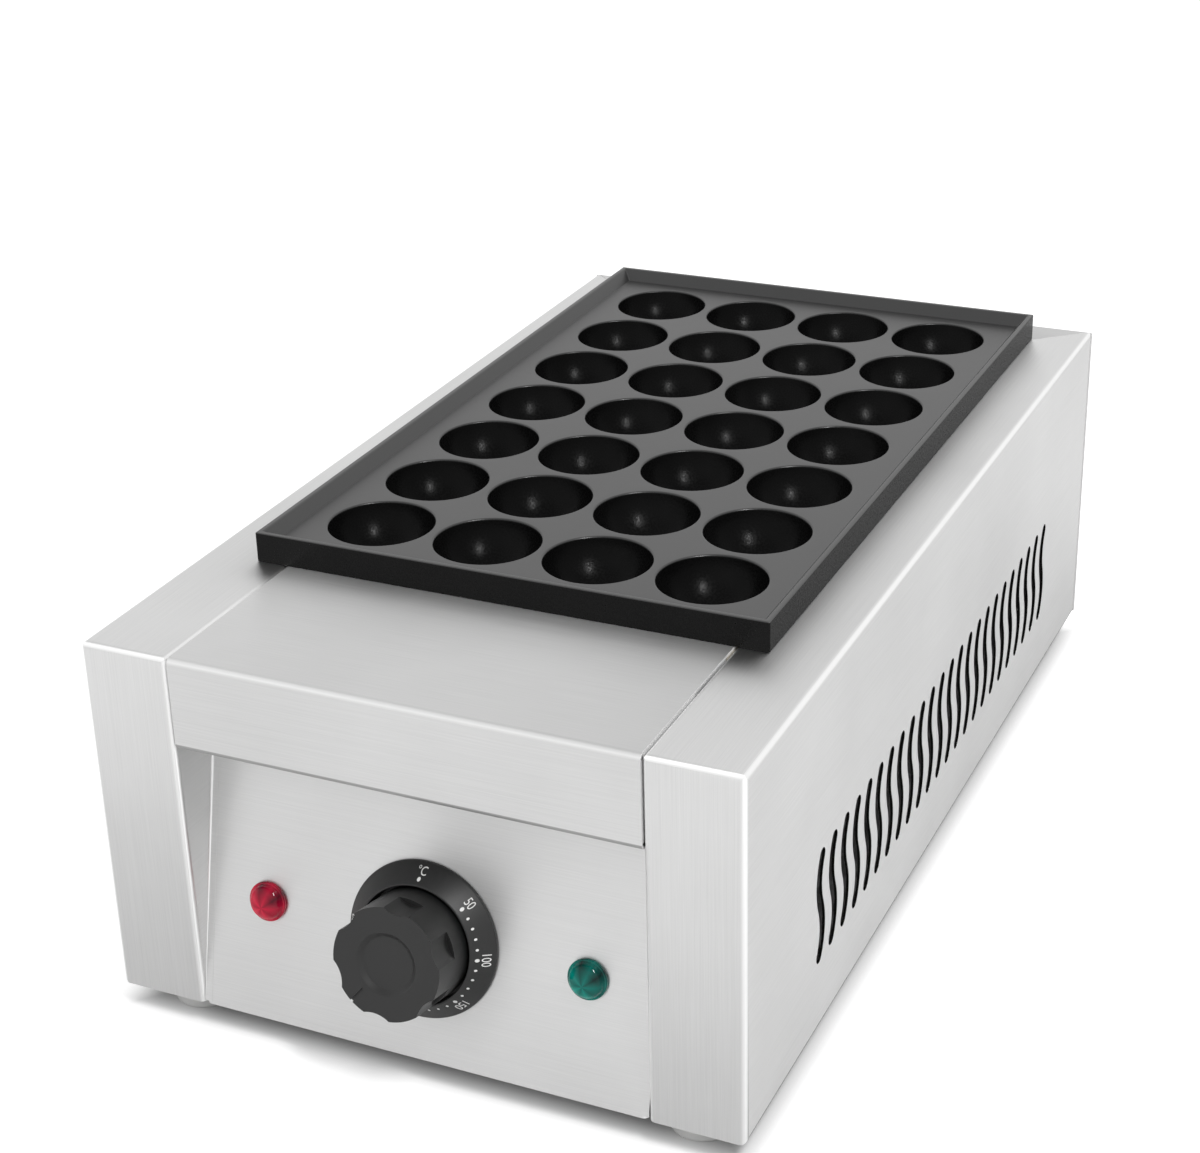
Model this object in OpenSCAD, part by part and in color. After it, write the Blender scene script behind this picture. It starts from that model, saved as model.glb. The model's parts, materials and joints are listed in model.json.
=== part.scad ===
// Electric poffertjes baker: a cast plate with rows of round cups, lying loose on a folded
// stainless body that holds two tubular heaters, a thermostat and two signal lamps.
// Front is -Y, up is +Z. The origin is on the table, under the middle of the body.

/* [Baking plate] */
// Cups across the plate
cup_cols = 4; // [4:1:6]
// Cups from front to back
cup_rows = 7; // [5:1:9]
// Distance from cup to cup
cup_pitch = 44; // [43:0.5:50]
// Diameter of a cup at the land between the cups
cup_d = 40; // [34:0.5:41]
// Depth of a cup below the land
cup_depth = 17; // [12:0.5:19]
// Wall of the cups below the plate
cup_wall = 3; // [2:0.25:3.5]
// Plate beyond the cup cells at the sides
side_border = 12; // [8:0.5:20]
// Plate beyond the cup cells at the front and back
end_border = 11; // [8:0.5:20]
// Height of the land above the body
land_h = 7; // [6:0.5:12]
// Thickness of the plate between the cups
plate_t = 4.5; // [3:0.25:5.5]
// Height of the rim above the land
rim_h = 4.5; // [3:0.25:8]
// Width of the rim's flat top
rim_t = 2; // [1.5:0.25:3.5]
// How far the rim's inner side slants in down to the land
rim_slope = 3.7; // [1:0.1:4]
// Rounding of the rim's outer edge
rim_round = 0.6; // [0.4:0.1:0.9]
// Width of the slanted lip round each cup
cup_lip = 0.6; // [0.3:0.1:0.8]
// Width of the skirt that the plate stands on
skirt_t = 4; // [3:0.25:6]
// Corner radius of the plate
plate_corner_r = 2; // [1.25:0.25:3]
// How far the plate lies on the sheet beyond the edge of the well
plate_seat = 8; // [6.5:0.5:10]

/* [Body] */
// Height of the sheet body without its feet
body_h = 140; // [130:1:180]
// Sheet beside the plate
side_margin = 22.5; // [18:0.5:40]
// Sheet in front of the plate
front_apron = 79; // [75:1:120]
// Sheet behind the plate
rear_rail = 19; // [18:0.5:40]
// How far the front of a side housing reaches in past the edge of the well
housing_tuck = 4.5; // [2:0.5:8]
// Thickness of the body sheet
sheet_t = 1; // [0.8:0.05:1.2]
// Outside radius of the folds
fold_r = 2.5; // [2:0.1:3.5]
// Open seam between two sheets
seam = 0.3; // [0.2:0.05:0.8]
// Depth of the return behind the front of a side housing
return_d = 45; // [40:1:50]
// Width of the flange behind the rear panel
rear_flange = 16; // [14:0.5:20]
// Gap between the fronts and the edge of the base plate
base_gap = 8; // [7:0.5:12]

/* [Side vents] */
// Vents in each side
vent_count = 24; // [8:1:26]
// Distance from vent to vent
vent_pitch = 12.5; // [11:0.5:14]
// Height of a vent between its round ends
vent_h = 40; // [30:1:50]
// How far each half of a vent bows out
vent_sag = 2.4; // [1.5:0.1:4]
// Width of a vent
vent_w = 5.6; // [2:0.1:6]
// How far a vent leans back, in degrees
vent_lean = 3; // [0:0.5:8]
// Middle of the vents above the bottom of the body
vent_z = 51; // [40:1:70]

/* [Control panel] */
// Lean of the panel
panel_tilt = 12.5; // [8:0.5:14]
// Height of the apron's lip over the panel
lip_h = 35; // [30:1:45]
// Distance from the fronts back to the foot of the panel
panel_inset = 0.5; // [0.3:0.1:2]
// How far the panel reaches up behind the lip
panel_tuck = 8; // [5:0.5:10]
// Depth of the panel's side folds
panel_fold_d = 6; // [5:0.25:6.5]
// Depth of the tabs that the panel's side screws go through
panel_tab_d = 18; // [16:0.5:22]
// Height of the knob and lamps, measured up the panel
control_v = 45; // [40:0.5:60]
// Distance from the side of the panel to each lamp
lamp_inset = 25; // [20:0.5:40]

/* [Dial and knob] */
// Diameter of the dial ring
dial_d = 57; // [54:0.5:70]
// Height of the dial ring
dial_h = 8; // [6:0.25:10]
// Height of the dial ring at its outer edge
dial_edge = 1.2; // [0.8:0.1:2.5]
// Diameter of the well in the dial ring
dial_well_d = 42.6; // [42:0.1:46]
// Thickness of the floor of the dial ring
dial_floor = 2; // [1.5:0.1:3]
// Diameter of the knob
knob_d = 40.4; // [34:0.2:41]
// Height of the knob's face above the panel
knob_reach = 27; // [24:0.5:34]
// Gap between the knob and the floor of the dial ring
knob_gap = 0.8; // [0.5:0.1:1.5]
// Wall of the knob behind the finger notches
knob_wall = 5; // [4.5:0.25:5.5]
// Thickness of the knob's face
knob_face_t = 3.5; // [3:0.25:5]
// Rounding of the knob's face edge
knob_round = 1.2; // [0.5:0.1:2]
// Finger notches around the knob
notch_count = 6; // [4:1:8]
// Radius of a finger notch
notch_r = 11; // [6:0.5:14]
// Depth of a finger notch
notch_depth = 1.7; // [1:0.1:2.5]
// Length of a finger notch, back from the face
notch_l = 11; // [6:0.5:14]
// Diameter of the shallow dish in the face
dish_d = 22; // [14:0.5:26]
// Depth of the dish
dish_depth = 1; // [0.5:0.1:1.5]
// Width of the pointer groove
pointer_w = 1.2; // [0.8:0.1:2]
// Where the pointer stands, turned clockwise from the top of the dial
pointer_turn = 218; // [0:1:273]
// Diameter of the hub inside the knob
hub_d = 13; // [11:0.5:16]
// Diameter of the thermostat shaft
shaft_d = 6; // [5:0.25:7]
// Depth of the flat on the shaft
shaft_flat = 1; // [0.6:0.1:1.4]
// Running clearance around the shaft
shaft_gap = 0.05; // [0.03:0.01:0.1]

/* [Lamps] */
// Diameter of a lamp holder where it passes through the panel
lamp_d = 12; // [9:0.5:14]
// Diameter of the collar of a lens, which lies on the panel
lamp_rim_d = 14.6; // [14.2:0.1:18]
// Thickness of the collar of a lens
lamp_rim_t = 1.5; // [1:0.1:2.5]
// Diameter of the dome of a lens
lens_d = 13; // [10:0.25:13.8]
// Height of the dome above its collar
lens_h = 4; // [2:0.25:6]
// Length of a lamp holder behind the panel
lamp_l = 22; // [16:0.5:30]

/* [Thermostat] */
// Width of the thermostat
thermostat_w = 40; // [34:0.5:48]
// Height of the thermostat
thermostat_h = 34; // [33:0.5:44]
// Depth of the thermostat
thermostat_l = 24; // [20:0.5:30]
// Thickness of the thermostat's mounting plate
bracket_t = 1.5; // [1:0.1:2]
// Distance between the thermostat's two screws
screw_spacing = 28; // [26:0.5:29]
// Diameter of the capillary tube
capillary_d = 2; // [1.5:0.1:2.6]
// Bend radius of the capillary tube
capillary_bend_r = 12; // [8:0.5:16]
// Diameter of the sensor bulb
bulb_d = 6; // [4:0.25:7]
// Length of the sensor bulb
bulb_l = 100; // [70:1:140]

/* [Heating] */
// Diameter of the heater tubes
heater_d = 8.5; // [6.5:0.25:9]
// Height of the heater tubes above the floor of the tray
heater_rise = 21; // [16:0.5:22]
// Length of the heater tubes in front of the tray
heater_tail = 18; // [16:0.5:24]
// Gap between the bends of the heaters and the back of the tray
heater_end_gap = 12; // [6:0.5:30]
// Thickness of the tray sheet
tray_t = 0.8; // [0.6:0.05:1]
// Depth of the tray
tray_depth = 44; // [40:0.5:60]
// Width of the flange round the tray
tray_flange = 14; // [12:0.5:15]
// Gap between the edge of the well and the walls of the tray
tray_gap = 1; // [0.5:0.1:2]
// Thickness of the brackets that carry the heaters and the bulb
support_t = 1.5; // [1:0.1:2]

/* [Feet] */
// Diameter of a foot
foot_d = 22; // [18:0.5:24]
// Height of a foot
foot_h = 10; // [8:0.5:25]
// Distance from the side of the body to the middle of a foot
foot_inset_x = 23; // [20:0.5:24]
// Distance from the front or back of the body to the middle of a foot
foot_inset_y = 18; // [16:0.5:30]

/* [Fasteners] */
// Thread diameter of the screws
screw_d = 4; // [3:0.25:4.5]
// Clearance around a screw in its hole
screw_gap = 0.15; // [0.1:0.05:0.3]
// Clearance between a screw and its nut
thread_gap = 0.04; // [0.02:0.01:0.08]
// Diameter of a screw head
head_d = 7.2; // [6.5:0.1:8]
// Height of a screw head
head_h = 2.3; // [1.8:0.1:2.8]
// Bevel round the top of a screw head
head_bevel = 1.2; // [0.6:0.1:1.6]
// Width of a nut across its flats
nut_w = 7; // [6.5:0.25:8]
// Height of a nut
nut_h = 3.2; // [2.4:0.1:4]

/* [Mains entry] */
// Diameter of the gland where it passes through the rear panel
gland_d = 20; // [16:0.5:24]
// Bore of the gland
gland_bore_d = 8.4; // [6:0.1:12]
// Distance of the gland from the middle of the rear panel
gland_x = 62; // [45:0.5:66]
// Height of the gland above the bottom of the body
gland_z = 38; // [30:0.5:60]
// How far the gland stands out behind the body
gland_reach = 22; // [18:0.5:30]
// Length of the terminal block
block_l = 46; // [40:0.5:60]
// Depth of the terminal block
block_d = 22; // [18:0.5:30]
// Height of the terminal block
block_h = 18; // [14:0.5:24]

/* [Hidden] */
$fn = 64;

// Cutting tools run past the faces they cut by this much
over = 1;

// The round ends and the middle spot of a vent differ from its width by this much
vent_step = 0.1;

// Plate, and the well under it
plate_w = cup_cols * cup_pitch + 2 * side_border;
plate_l = cup_rows * cup_pitch + 2 * end_border;
plate_y = (front_apron - rear_rail) / 2;
well_x = plate_w / 2 - plate_seat;
well_y0 = plate_y - plate_l / 2 + plate_seat;
well_y1 = plate_y + plate_l / 2 - plate_seat;

// Body: half width, inner edge of the housings, front, back, bottom and top
half_w = plate_w / 2 + side_margin;
inner_x = well_x - housing_tuck;
body_l = plate_l + front_apron + rear_rail;
front_y = -body_l / 2;
back_y = body_l / 2;
bottom_z = foot_h;
top_z = foot_h + body_h;
under_z = top_z - sheet_t;
housing_back = back_y - sheet_t;
inner_r = fold_r - sheet_t;
apron_half = inner_x - seam;

// Base plate lies on the flanges at the bottom of the sheets
base_z0 = bottom_z + sheet_t;
base_z1 = base_z0 + sheet_t;
base_front = front_y + base_gap;
base_back = housing_back - 2 * sheet_t;
base_half = half_w - 2 * sheet_t;

// Cups and plate levels
land_z = top_z + land_h;
rim_z = land_z + rim_h;
cup_r = cup_d / 2;
cup_ball_r = (cup_r * cup_r + cup_depth * cup_depth) / (2 * cup_depth);
cup_ball_z = land_z - cup_depth + cup_ball_r;
cup_under_z = land_z - cup_depth - cup_wall;

// Control panel: foot of its face, and the end of its slope behind the lip
panel_y = front_y + panel_inset;
panel_top_v = (body_h - lip_h + panel_tuck) / cos(panel_tilt);
panel_foot_d = 20;
panel_tab_low = 14;
panel_tab_high = 6;
panel_tab_v = [panel_tab_low, panel_top_v - panel_tab_high];
lamp_x = apron_half - lamp_inset;
lamp_wall = 1.5;
lens_spigot = 4;
lamp_nut_wall = 2;
lamp_nut_t = 4;
hem_y = panel_y + (body_h - lip_h) * tan(panel_tilt) - seam / 2;

// Tray and heaters
tray_x = well_x + tray_gap;
tray_y0 = well_y0 - tray_gap;
tray_y1 = well_y1 + tray_gap;
tray_z0 = under_z - tray_depth;
tray_floor = tray_z0 + tray_t;
heater_z = tray_floor + heater_rise;
heater_x2 = (cup_cols - 1) / 2 * cup_pitch;
heater_x1 = heater_x2 - cup_pitch;
heater_y0 = tray_y0 - heater_tail;
heater_y1 = tray_y1 - heater_end_gap - cup_pitch / 2 - heater_d / 2;
heater_xs = [-heater_x2, -heater_x1, heater_x1, heater_x2];
heater_gap = 0.05;
bushing_wall = 2.75;
bushing_d = heater_d + 2 * bushing_wall;
bushing_flange = 2.5;
bushing_flange_t = 3;
bushing_nut_wall = 2;
bushing_l = 15;
bushing_nut_h = 5;
insulator_l = 5;
insulator_taper = 1;
pin_l = 14;
support_back = 20;
support_y = heater_y1 - support_back;
support_foot = 10;

// Sensor bulb lies between the two middle columns of cups
bulb_drop = 0.5;
bulb_z = cup_under_z + bulb_d / 2 - bulb_drop;
bulb_y0 = plate_y - bulb_l / 2;
bulb_y1 = plate_y + bulb_l / 2;
bracket_wall = 3;
bracket_half = bulb_d / 2 + bracket_wall;
bulb_neck = 6;

// Sheet screws: places on each piece
screw_hole_d = screw_d + 2 * screw_gap;
screw_tail = 1.5;
foot_places = [for (sx = [-1, 1], sy = [-1, 1])
    [sx * (half_w - foot_inset_x), sy * (back_y - foot_inset_y)]];
base_screw_inset = 12;
base_front_screw = 7;
base_back_screw = 9;
base_screw_places = concat(
    [for (sx = [-1, 1], k = [-1, 0, 1]) [sx * (half_w - base_screw_inset), k * body_l / 4]],
    [for (sx = [-1, 1]) [sx * inner_x / 2, base_front + base_front_screw]],
    [for (sx = [-1, 1]) [sx * inner_x / 3, base_back - base_back_screw]]);
rear_screw_inset = 9;
rear_screw_l = 9;
rear_screw_zs = [for (k = [1, 4, 7]) bottom_z + k * body_h / 8];
panel_screw_w = -(panel_fold_d + panel_tab_d) / 2;
panel_screw_inset = 11;
apron_screw_drop = 13;
flange_screw_places = [
    panel_point(panel_tab_v[0] + panel_screw_inset, panel_screw_w),
    panel_point(panel_tab_v[1] - panel_screw_inset, panel_screw_w),
    [front_y + return_d / 4, top_z - apron_screw_drop],
    [front_y + return_d * 3 / 4, top_z - apron_screw_drop]
];
apron_tab_gap = 3;
apron_tab_z = top_z - lip_h + panel_tuck + apron_tab_gap;
stud_edge = 5.6;
stud_out = tray_flange - stud_edge;
tray_stud_places = concat(
    [for (sx = [-1, 1], k = [-1, 0, 1])
        [sx * (tray_x + stud_out), plate_y + k * plate_l / 3]],
    [for (sx = [-1, 1], y = [tray_y0 - stud_out, tray_y1 + stud_out])
        [sx * plate_w / 4, y]]);

// Thermostat, in the panel's own directions
bracket_w = -sheet_t - bracket_t;
thermostat_back = bracket_w - thermostat_l;
shaft_depth = 17;
shaft_end = bracket_w - shaft_depth;
knob_foot = dial_floor + knob_gap;
shaft_cover = 7;
shaft_top = knob_reach - shaft_cover;
shaft_hole_gap = 2;
shaft_hole_d = shaft_d + 2 * shaft_hole_gap;
blade = [6.3, 0.8, 8];
bracket_step = 2;
thermostat_screw_bite = 6;
thermostat_screw_l = dial_floor + sheet_t + bracket_t + thermostat_screw_bite;

// Capillary tube climbs from the top of the thermostat and bends over to the bulb
capillary_gap = 0.5;
capillary_w = bracket_w - thermostat_l / 2;
capillary_foot = panel_point(control_v + thermostat_h / 2, capillary_w);
capillary_z0 = capillary_foot[1] + capillary_d / 2 * tan(panel_tilt);

// Mains entry
gland_place = [gland_x, bottom_z + gland_z];
gland_flange = 2;
gland_flange_t = 6;
gland_cap_wall = 1;
locknut_wall = 2.5;
gland_in = 11;
locknut_t = 5;
hex = 1 / cos(30);
block_from_gland = 40;
block_from_back = 75;
block_place = [gland_x - block_l / 2 - block_from_gland, back_y - block_from_back, base_z1];
block_ear = 8;
block_ear_t = 4;
pole_pitch = block_l / 3;
wire_hole_d = 4;
earth_from_back = 62;
earth_place = [gland_x, back_y - earth_from_back];
earth_d = 5;
earth_l = 20;
earth_flange_t = 2;
earth_nut_w = 8;

// A place on the control panel, as [y, z] of the body: up the panel, then out from its face
function panel_point(v, w) = [
    panel_y + v * sin(panel_tilt) - w * cos(panel_tilt),
    bottom_z + v * cos(panel_tilt) + w * sin(panel_tilt)
];

// Moves a shape drawn on a flat panel (X across, Y up, Z out) to the leaning control panel
module on_panel() {
    translate([0, panel_y, bottom_z]) rotate([90 - panel_tilt, 0, 0]) children();
}

module on_control(x) {
    on_panel() translate([x, control_v, 0]) children();
}

module block(a, b) {
    translate(a) cube(b - a);
}

// Extrusions along one direction; the profile is drawn in the other two, in the order X, Y, Z
module along_x(a, b) {
    translate([a, 0, 0]) rotate([90, 0, 90]) linear_extrude(b - a) children();
}

module along_y(a, b) {
    translate([0, b, 0]) rotate([90, 0, 0]) linear_extrude(b - a) children();
}

module along_z(a, b) {
    translate([0, 0, a]) linear_extrude(b - a) children();
}

// Rectangle from corner a to corner b with its own radius at each corner:
// low-low, high-low, high-high, low-high
module round_rect(a, b, radii) {
    corners = [[a[0], a[1], 1, 1], [b[0], a[1], -1, 1], [b[0], b[1], -1, -1], [a[0], b[1], 1, -1]];
    difference() {
        translate(a) square(b - a);
        for (i = [0:3])
            if (radii[i] > 0)
                round_corner(corners[i], radii[i]);
    }
}

module round_corner(c, r) {
    difference() {
        translate([c[0] + c[2] * (r - over) / 2, c[1] + c[3] * (r - over) / 2])
            square(r + over, center = true);
        translate([c[0] + c[2] * r, c[1] + c[3] * r]) circle(r);
    }
}

// Pan-head screw: the head lies below z = 0 and the shank goes up
module pan_screw(l) {
    rotate_extrude() polygon([
        [0, -head_h], [head_d / 2 - head_bevel, -head_h], [head_d / 2, -head_h + head_bevel],
        [head_d / 2, 0], [screw_d / 2, 0], [screw_d / 2, l], [0, l]
    ]);
}

module hex_nut(width, bore, h) {
    difference() {
        cylinder(h = h, d = width * hex, $fn = 6);
        translate([0, 0, -over]) cylinder(h = h + 2 * over, d = bore);
    }
}

module screw_nut() {
    hex_nut(nut_w, screw_d + 2 * thread_gap, nut_h);
}

module screw_hole(l) {
    translate([0, 0, -over]) cylinder(h = l + 2 * over, d = screw_hole_d);
}

// One S-shaped vent, drawn with X towards the back and Y up: two arcs with round ends, and a round
// spot over the line where they meet
module vent() {
    half = vent_h / 2;
    arc_r = (half * half / 4 + vent_sag * vent_sag) / (2 * vent_sag);
    turn = atan2(half / 2, arc_r - vent_sag);
    for (s = [-1, 1]) {
        intersection() {
            translate([s * (arc_r - vent_sag), s * half / 2]) difference() {
                circle(arc_r + vent_w / 2);
                circle(arc_r - vent_w / 2);
            }
            rotate(turn) half_plane(s);
            translate([0, s * half]) rotate(-turn) half_plane(-s);
        }
        translate([0, s * half]) circle(d = vent_w - vent_step);
    }
    circle(d = vent_w + vent_step);
}

// Square that reaches from the X axis up or down past a whole vent
module half_plane(s) {
    translate([-vent_h, (s - 1) * vent_h]) square(2 * vent_h);
}

module vent_row() {
    for (i = [0:vent_count - 1])
        translate([(i - (vent_count - 1) / 2) * vent_pitch, bottom_z + vent_z]) rotate(-vent_lean) vent();
}

// Top sheet behind the mitre that runs from the corner of the well to the corner of the body
module behind_mitre() {
    polygon([
        [-well_x, well_y1], [well_x, well_y1], [half_w, back_y], [half_w, back_y + over],
        [-half_w, back_y + over], [-half_w, back_y]
    ]);
}

module base_screw_holes() {
    for (p = concat(base_screw_places, foot_places))
        translate([p[0], p[1], bottom_z]) screw_hole(2 * sheet_t);
}

module flange_screw_holes() {
    reach = inner_x + 2 * sheet_t;
    for (p = flange_screw_places)
        translate([-reach, p[0], p[1]]) rotate([0, 90, 0])
            cylinder(h = 2 * reach, d = screw_hole_d);
}

// Box of a side housing, drawn smaller by the inset, with its folded edges rounded
module housing_box(inset) {
    r = fold_r - inset;
    low = [inner_x + inset, front_y + inset, bottom_z + inset];
    high = [half_w - inset, housing_back - inset, top_z - inset];
    intersection() {
        along_y(low[1], high[1]) round_rect([low[0], low[2]], [high[0], high[2]], [0, r, r, r]);
        along_z(low[2], high[2]) round_rect([low[0], low[1]], [high[0], high[1]], [r, r, r, 0]);
        along_x(low[0], high[0]) round_rect([low[1], low[2]], [high[1], high[2]], [0, 0, 0, r]);
    }
}

module side_housing() {
    inside_z0 = bottom_z + sheet_t;
    difference() {
        housing_box(0);
        housing_box(sheet_t);
        // open towards the inside of the body, behind the front return
        block([inner_x - over, front_y + return_d, inside_z0],
              [inner_x + 2 * fold_r, back_y, under_z]);
        block([inner_x - over, housing_back - 2 * sheet_t, inside_z0],
              [half_w - rear_flange, back_y, under_z]);
        // room for the base plate under the front return
        block([inner_x - over, base_front - seam, inside_z0],
              [inner_x + fold_r, back_y, base_z1 + seam / 2]);
        // edge of the well, and the mitre at the rear rail
        block([inner_x - over, well_y0, under_z - over], [well_x, back_y, top_z + over]);
        translate([0, -seam / 2, 0]) along_z(under_z, top_z + over) behind_mitre();
        along_x(half_w - 2 * sheet_t, half_w + over) vent_row();
        base_screw_holes();
        flange_screw_holes();
        rear_screw_holes();
    }
}

module left_side_housing() {
    color("silver") mirror([1, 0, 0]) side_housing();
}

module right_side_housing() {
    color("silver") side_housing();
}

// Apron in front of the plate: top, lip, hem under the lip, and a tab at each side
module front_apron() {
    lip_z = top_z - lip_h;
    color("silver") difference() {
        union() {
            along_x(-apron_half, apron_half) difference() {
                round_rect([front_y, lip_z], [well_y0, top_z], [fold_r, 0, 0, fold_r]);
                round_rect([front_y + sheet_t, lip_z + sheet_t], [well_y0 + over, under_z],
                           [inner_r, 0, 0, inner_r]);
                translate([hem_y, lip_z - over]) square([body_l, sheet_t + 2 * over]);
            }
            for (x = [-apron_half, apron_half - sheet_t])
                block([x, front_y + fold_r, apron_tab_z],
                      [x + sheet_t, front_y + return_d, under_z + sheet_t / 2]);
        }
        flange_screw_holes();
    }
}

// Section across the control panel: its face and the fold at each side
module panel_section() {
    difference() {
        round_rect([-apron_half, -panel_fold_d], [apron_half, 0], [0, 0, fold_r, fold_r]);
        round_rect([-apron_half + sheet_t, -panel_fold_d - over], [apron_half - sheet_t, -sheet_t],
                   [0, 0, inner_r, inner_r]);
    }
}

// Leaning front with folded sides, a tab behind each side and a foot under the base plate
module control_panel() {
    color("gainsboro") difference() {
        union() {
            intersection() {
                on_panel() rotate([90, 0, 0]) translate([0, 0, -panel_top_v])
                    linear_extrude(panel_top_v + panel_fold_d) panel_section();
                block([-half_w, front_y, bottom_z], [half_w, back_y, top_z]);
            }
            for (x = [-apron_half, apron_half - sheet_t])
                on_panel() block([x, panel_tab_v[0], -panel_tab_d],
                                 [x + sheet_t, panel_tab_v[1], -panel_fold_d / 2]);
            block([-apron_half + 2 * fold_r, panel_y + sheet_t / 2, bottom_z],
                  [apron_half - 2 * fold_r, panel_y + panel_foot_d, bottom_z + sheet_t]);
        }
        on_control(0) translate([0, 0, -2 * sheet_t]) cylinder(h = 3 * sheet_t, d = shaft_hole_d);
        thermostat_screw_holes();
        for (x = [-lamp_x, lamp_x])
            on_control(x) translate([0, 0, -2 * sheet_t])
                cylinder(h = 3 * sheet_t, d = lamp_d + 2 * screw_gap);
        base_screw_holes();
        flange_screw_holes();
    }
}

module thermostat_screw_holes() {
    for (v = [-1, 1])
        on_control(0) translate([0, v * screw_spacing / 2, -2 * sheet_t - bracket_t])
            cylinder(h = dial_h, d = screw_hole_d);
}

// Back of the body with the rail behind the plate, mitred at both ends, and a bottom flange
module rear_panel() {
    color("silver") difference() {
        along_x(-half_w, half_w) difference() {
            round_rect([well_y1, bottom_z], [back_y, top_z], [0, fold_r, fold_r, 0]);
            round_rect([well_y1 - over, bottom_z + sheet_t], [housing_back, under_z],
                       [0, inner_r, inner_r, 0]);
        }
        // the rail ends at the mitre, and the bottom flange between the housings
        along_z(under_z - fold_r, top_z + over) difference() {
            translate([-half_w - over, well_y1 - over])
                square([2 * half_w + 2 * over, housing_back - well_y1 + over]);
            translate([0, seam / 2]) behind_mitre();
        }
        for (x = [-half_w - over, apron_half])
            block([x, well_y1 - over, bottom_z - over],
                  [x + half_w + over - apron_half, housing_back, bottom_z + fold_r]);
        rear_screw_holes();
        base_screw_holes();
        translate([gland_place[0], housing_back - over, gland_place[1]]) rotate([-90, 0, 0])
            cylinder(h = sheet_t + 2 * over, d = gland_d + 2 * screw_gap);
    }
}

module at_rear_screws() {
    for (s = [-1, 1], z = rear_screw_zs)
        translate([s * (half_w - rear_screw_inset), back_y, z]) rotate([90, 0, 0]) children();
}

module rear_screw_holes() {
    at_rear_screws() screw_hole(3 * sheet_t);
}

module rear_screws() {
    color("lightgray") at_rear_screws() pan_screw(rear_screw_l);
}

// Flat floor of the body with air slots between the feet
module base_plate() {
    slots = 6;
    slot_pitch = body_l / 24;
    color("lightgray") difference() {
        block([-base_half, base_front, base_z0], [base_half, base_back, base_z1]);
        base_screw_holes();
        for (s = [-1, 1], i = [0:slots - 1])
            translate([s * inner_x / 2, (i - slots) * slot_pitch, base_z0 - over])
                linear_extrude(sheet_t + 2 * over) air_slot();
        for (x = [-1, 1])
            translate([block_place[0] + x * (block_l / 2 + block_ear / 2), block_place[1], base_z0])
                screw_hole(sheet_t);
    }
}

module air_slot() {
    slot_l = inner_x * 0.5;
    slot_w = 5;
    square([slot_l, slot_w], center = true);
    for (x = [-slot_l / 2, slot_l / 2])
        translate([x, 0]) circle(d = slot_w);
}

// Rubber foot, a little narrower at the top, with its screw head sunk in from below
module foot(place) {
    taper = 2;
    sink_gap = 1;
    color("dimgray") translate([place[0], place[1], 0]) difference() {
        cylinder(h = foot_h, d1 = foot_d, d2 = foot_d - taper);
        translate([0, 0, -over]) cylinder(h = foot_h / 2 + over, d = head_d + 2 * sink_gap);
        screw_hole(foot_h);
    }
}

module foot_front_left() {
    foot(foot_places[0]);
}

module foot_rear_left() {
    foot(foot_places[1]);
}

module foot_front_right() {
    foot(foot_places[2]);
}

module foot_rear_right() {
    foot(foot_places[3]);
}

module foot_screws() {
    shank = foot_h / 2 + 2 * sheet_t + nut_h + screw_tail;
    color("lightgray") for (p = foot_places)
        translate([p[0], p[1], foot_h / 2]) pan_screw(shank);
}

module base_screws() {
    shank = 2 * sheet_t + nut_h + screw_tail;
    color("lightgray") for (p = base_screw_places)
        translate([p[0], p[1], bottom_z]) pan_screw(shank);
}

module base_nuts() {
    color("lightgray") for (p = concat(base_screw_places, foot_places))
        translate([p[0], p[1], base_z1]) screw_nut();
}

// Screws that hold the apron and the control panel to the front returns of the housings
module at_flange_screws(x) {
    for (s = [-1, 1], p = flange_screw_places)
        translate([s * x, p[0], p[1]]) rotate([0, s * 90, 0]) children();
}

module flange_screws() {
    shank = 2 * sheet_t + seam + nut_h + screw_tail;
    color("lightgray") at_flange_screws(apron_half - sheet_t) pan_screw(shank);
}

module flange_nuts() {
    color("lightgray") at_flange_screws(inner_x + sheet_t) screw_nut();
}

// Open pan under the heaters, hung by its flange from the top sheets
module reflector_tray() {
    color("gainsboro") difference() {
        union() {
            block([-tray_x - tray_t, tray_y0 - tray_t, tray_z0],
                  [tray_x + tray_t, tray_y1 + tray_t, under_z]);
            block([-tray_x - tray_flange, tray_y0 - tray_flange, under_z - tray_t],
                  [tray_x + tray_flange, tray_y1 + tray_flange, under_z]);
        }
        block([-tray_x, tray_y0, tray_floor], [tray_x, tray_y1, top_z]);
        for (x = heater_xs)
            along_heater(x, tray_y0 - 2 * tray_t)
                cylinder(h = 4 * tray_t, d = bushing_d + 2 * screw_gap);
        translate([0, tray_y0 - 2 * tray_t, bulb_z]) rotate([-90, 0, 0])
            cylinder(h = 4 * tray_t, d = capillary_d + 2 * capillary_gap);
        for (p = tray_stud_places)
            translate([p[0], p[1], under_z - tray_t]) screw_hole(tray_t);
    }
}

module tray_studs() {
    stud_l = tray_t + nut_h + screw_tail;
    color("lightgray") for (p = tray_stud_places)
        translate([p[0], p[1], under_z - stud_l]) cylinder(h = stud_l, d = screw_d);
}

module tray_nuts() {
    color("lightgray") for (p = tray_stud_places)
        translate([p[0], p[1], under_z - tray_t - nut_h]) screw_nut();
}

// Moves a shape drawn along Z onto a heater leg, pointing to the back
module along_heater(x, y) {
    translate([x, y, heater_z]) rotate([-90, 0, 0]) children();
}

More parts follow.
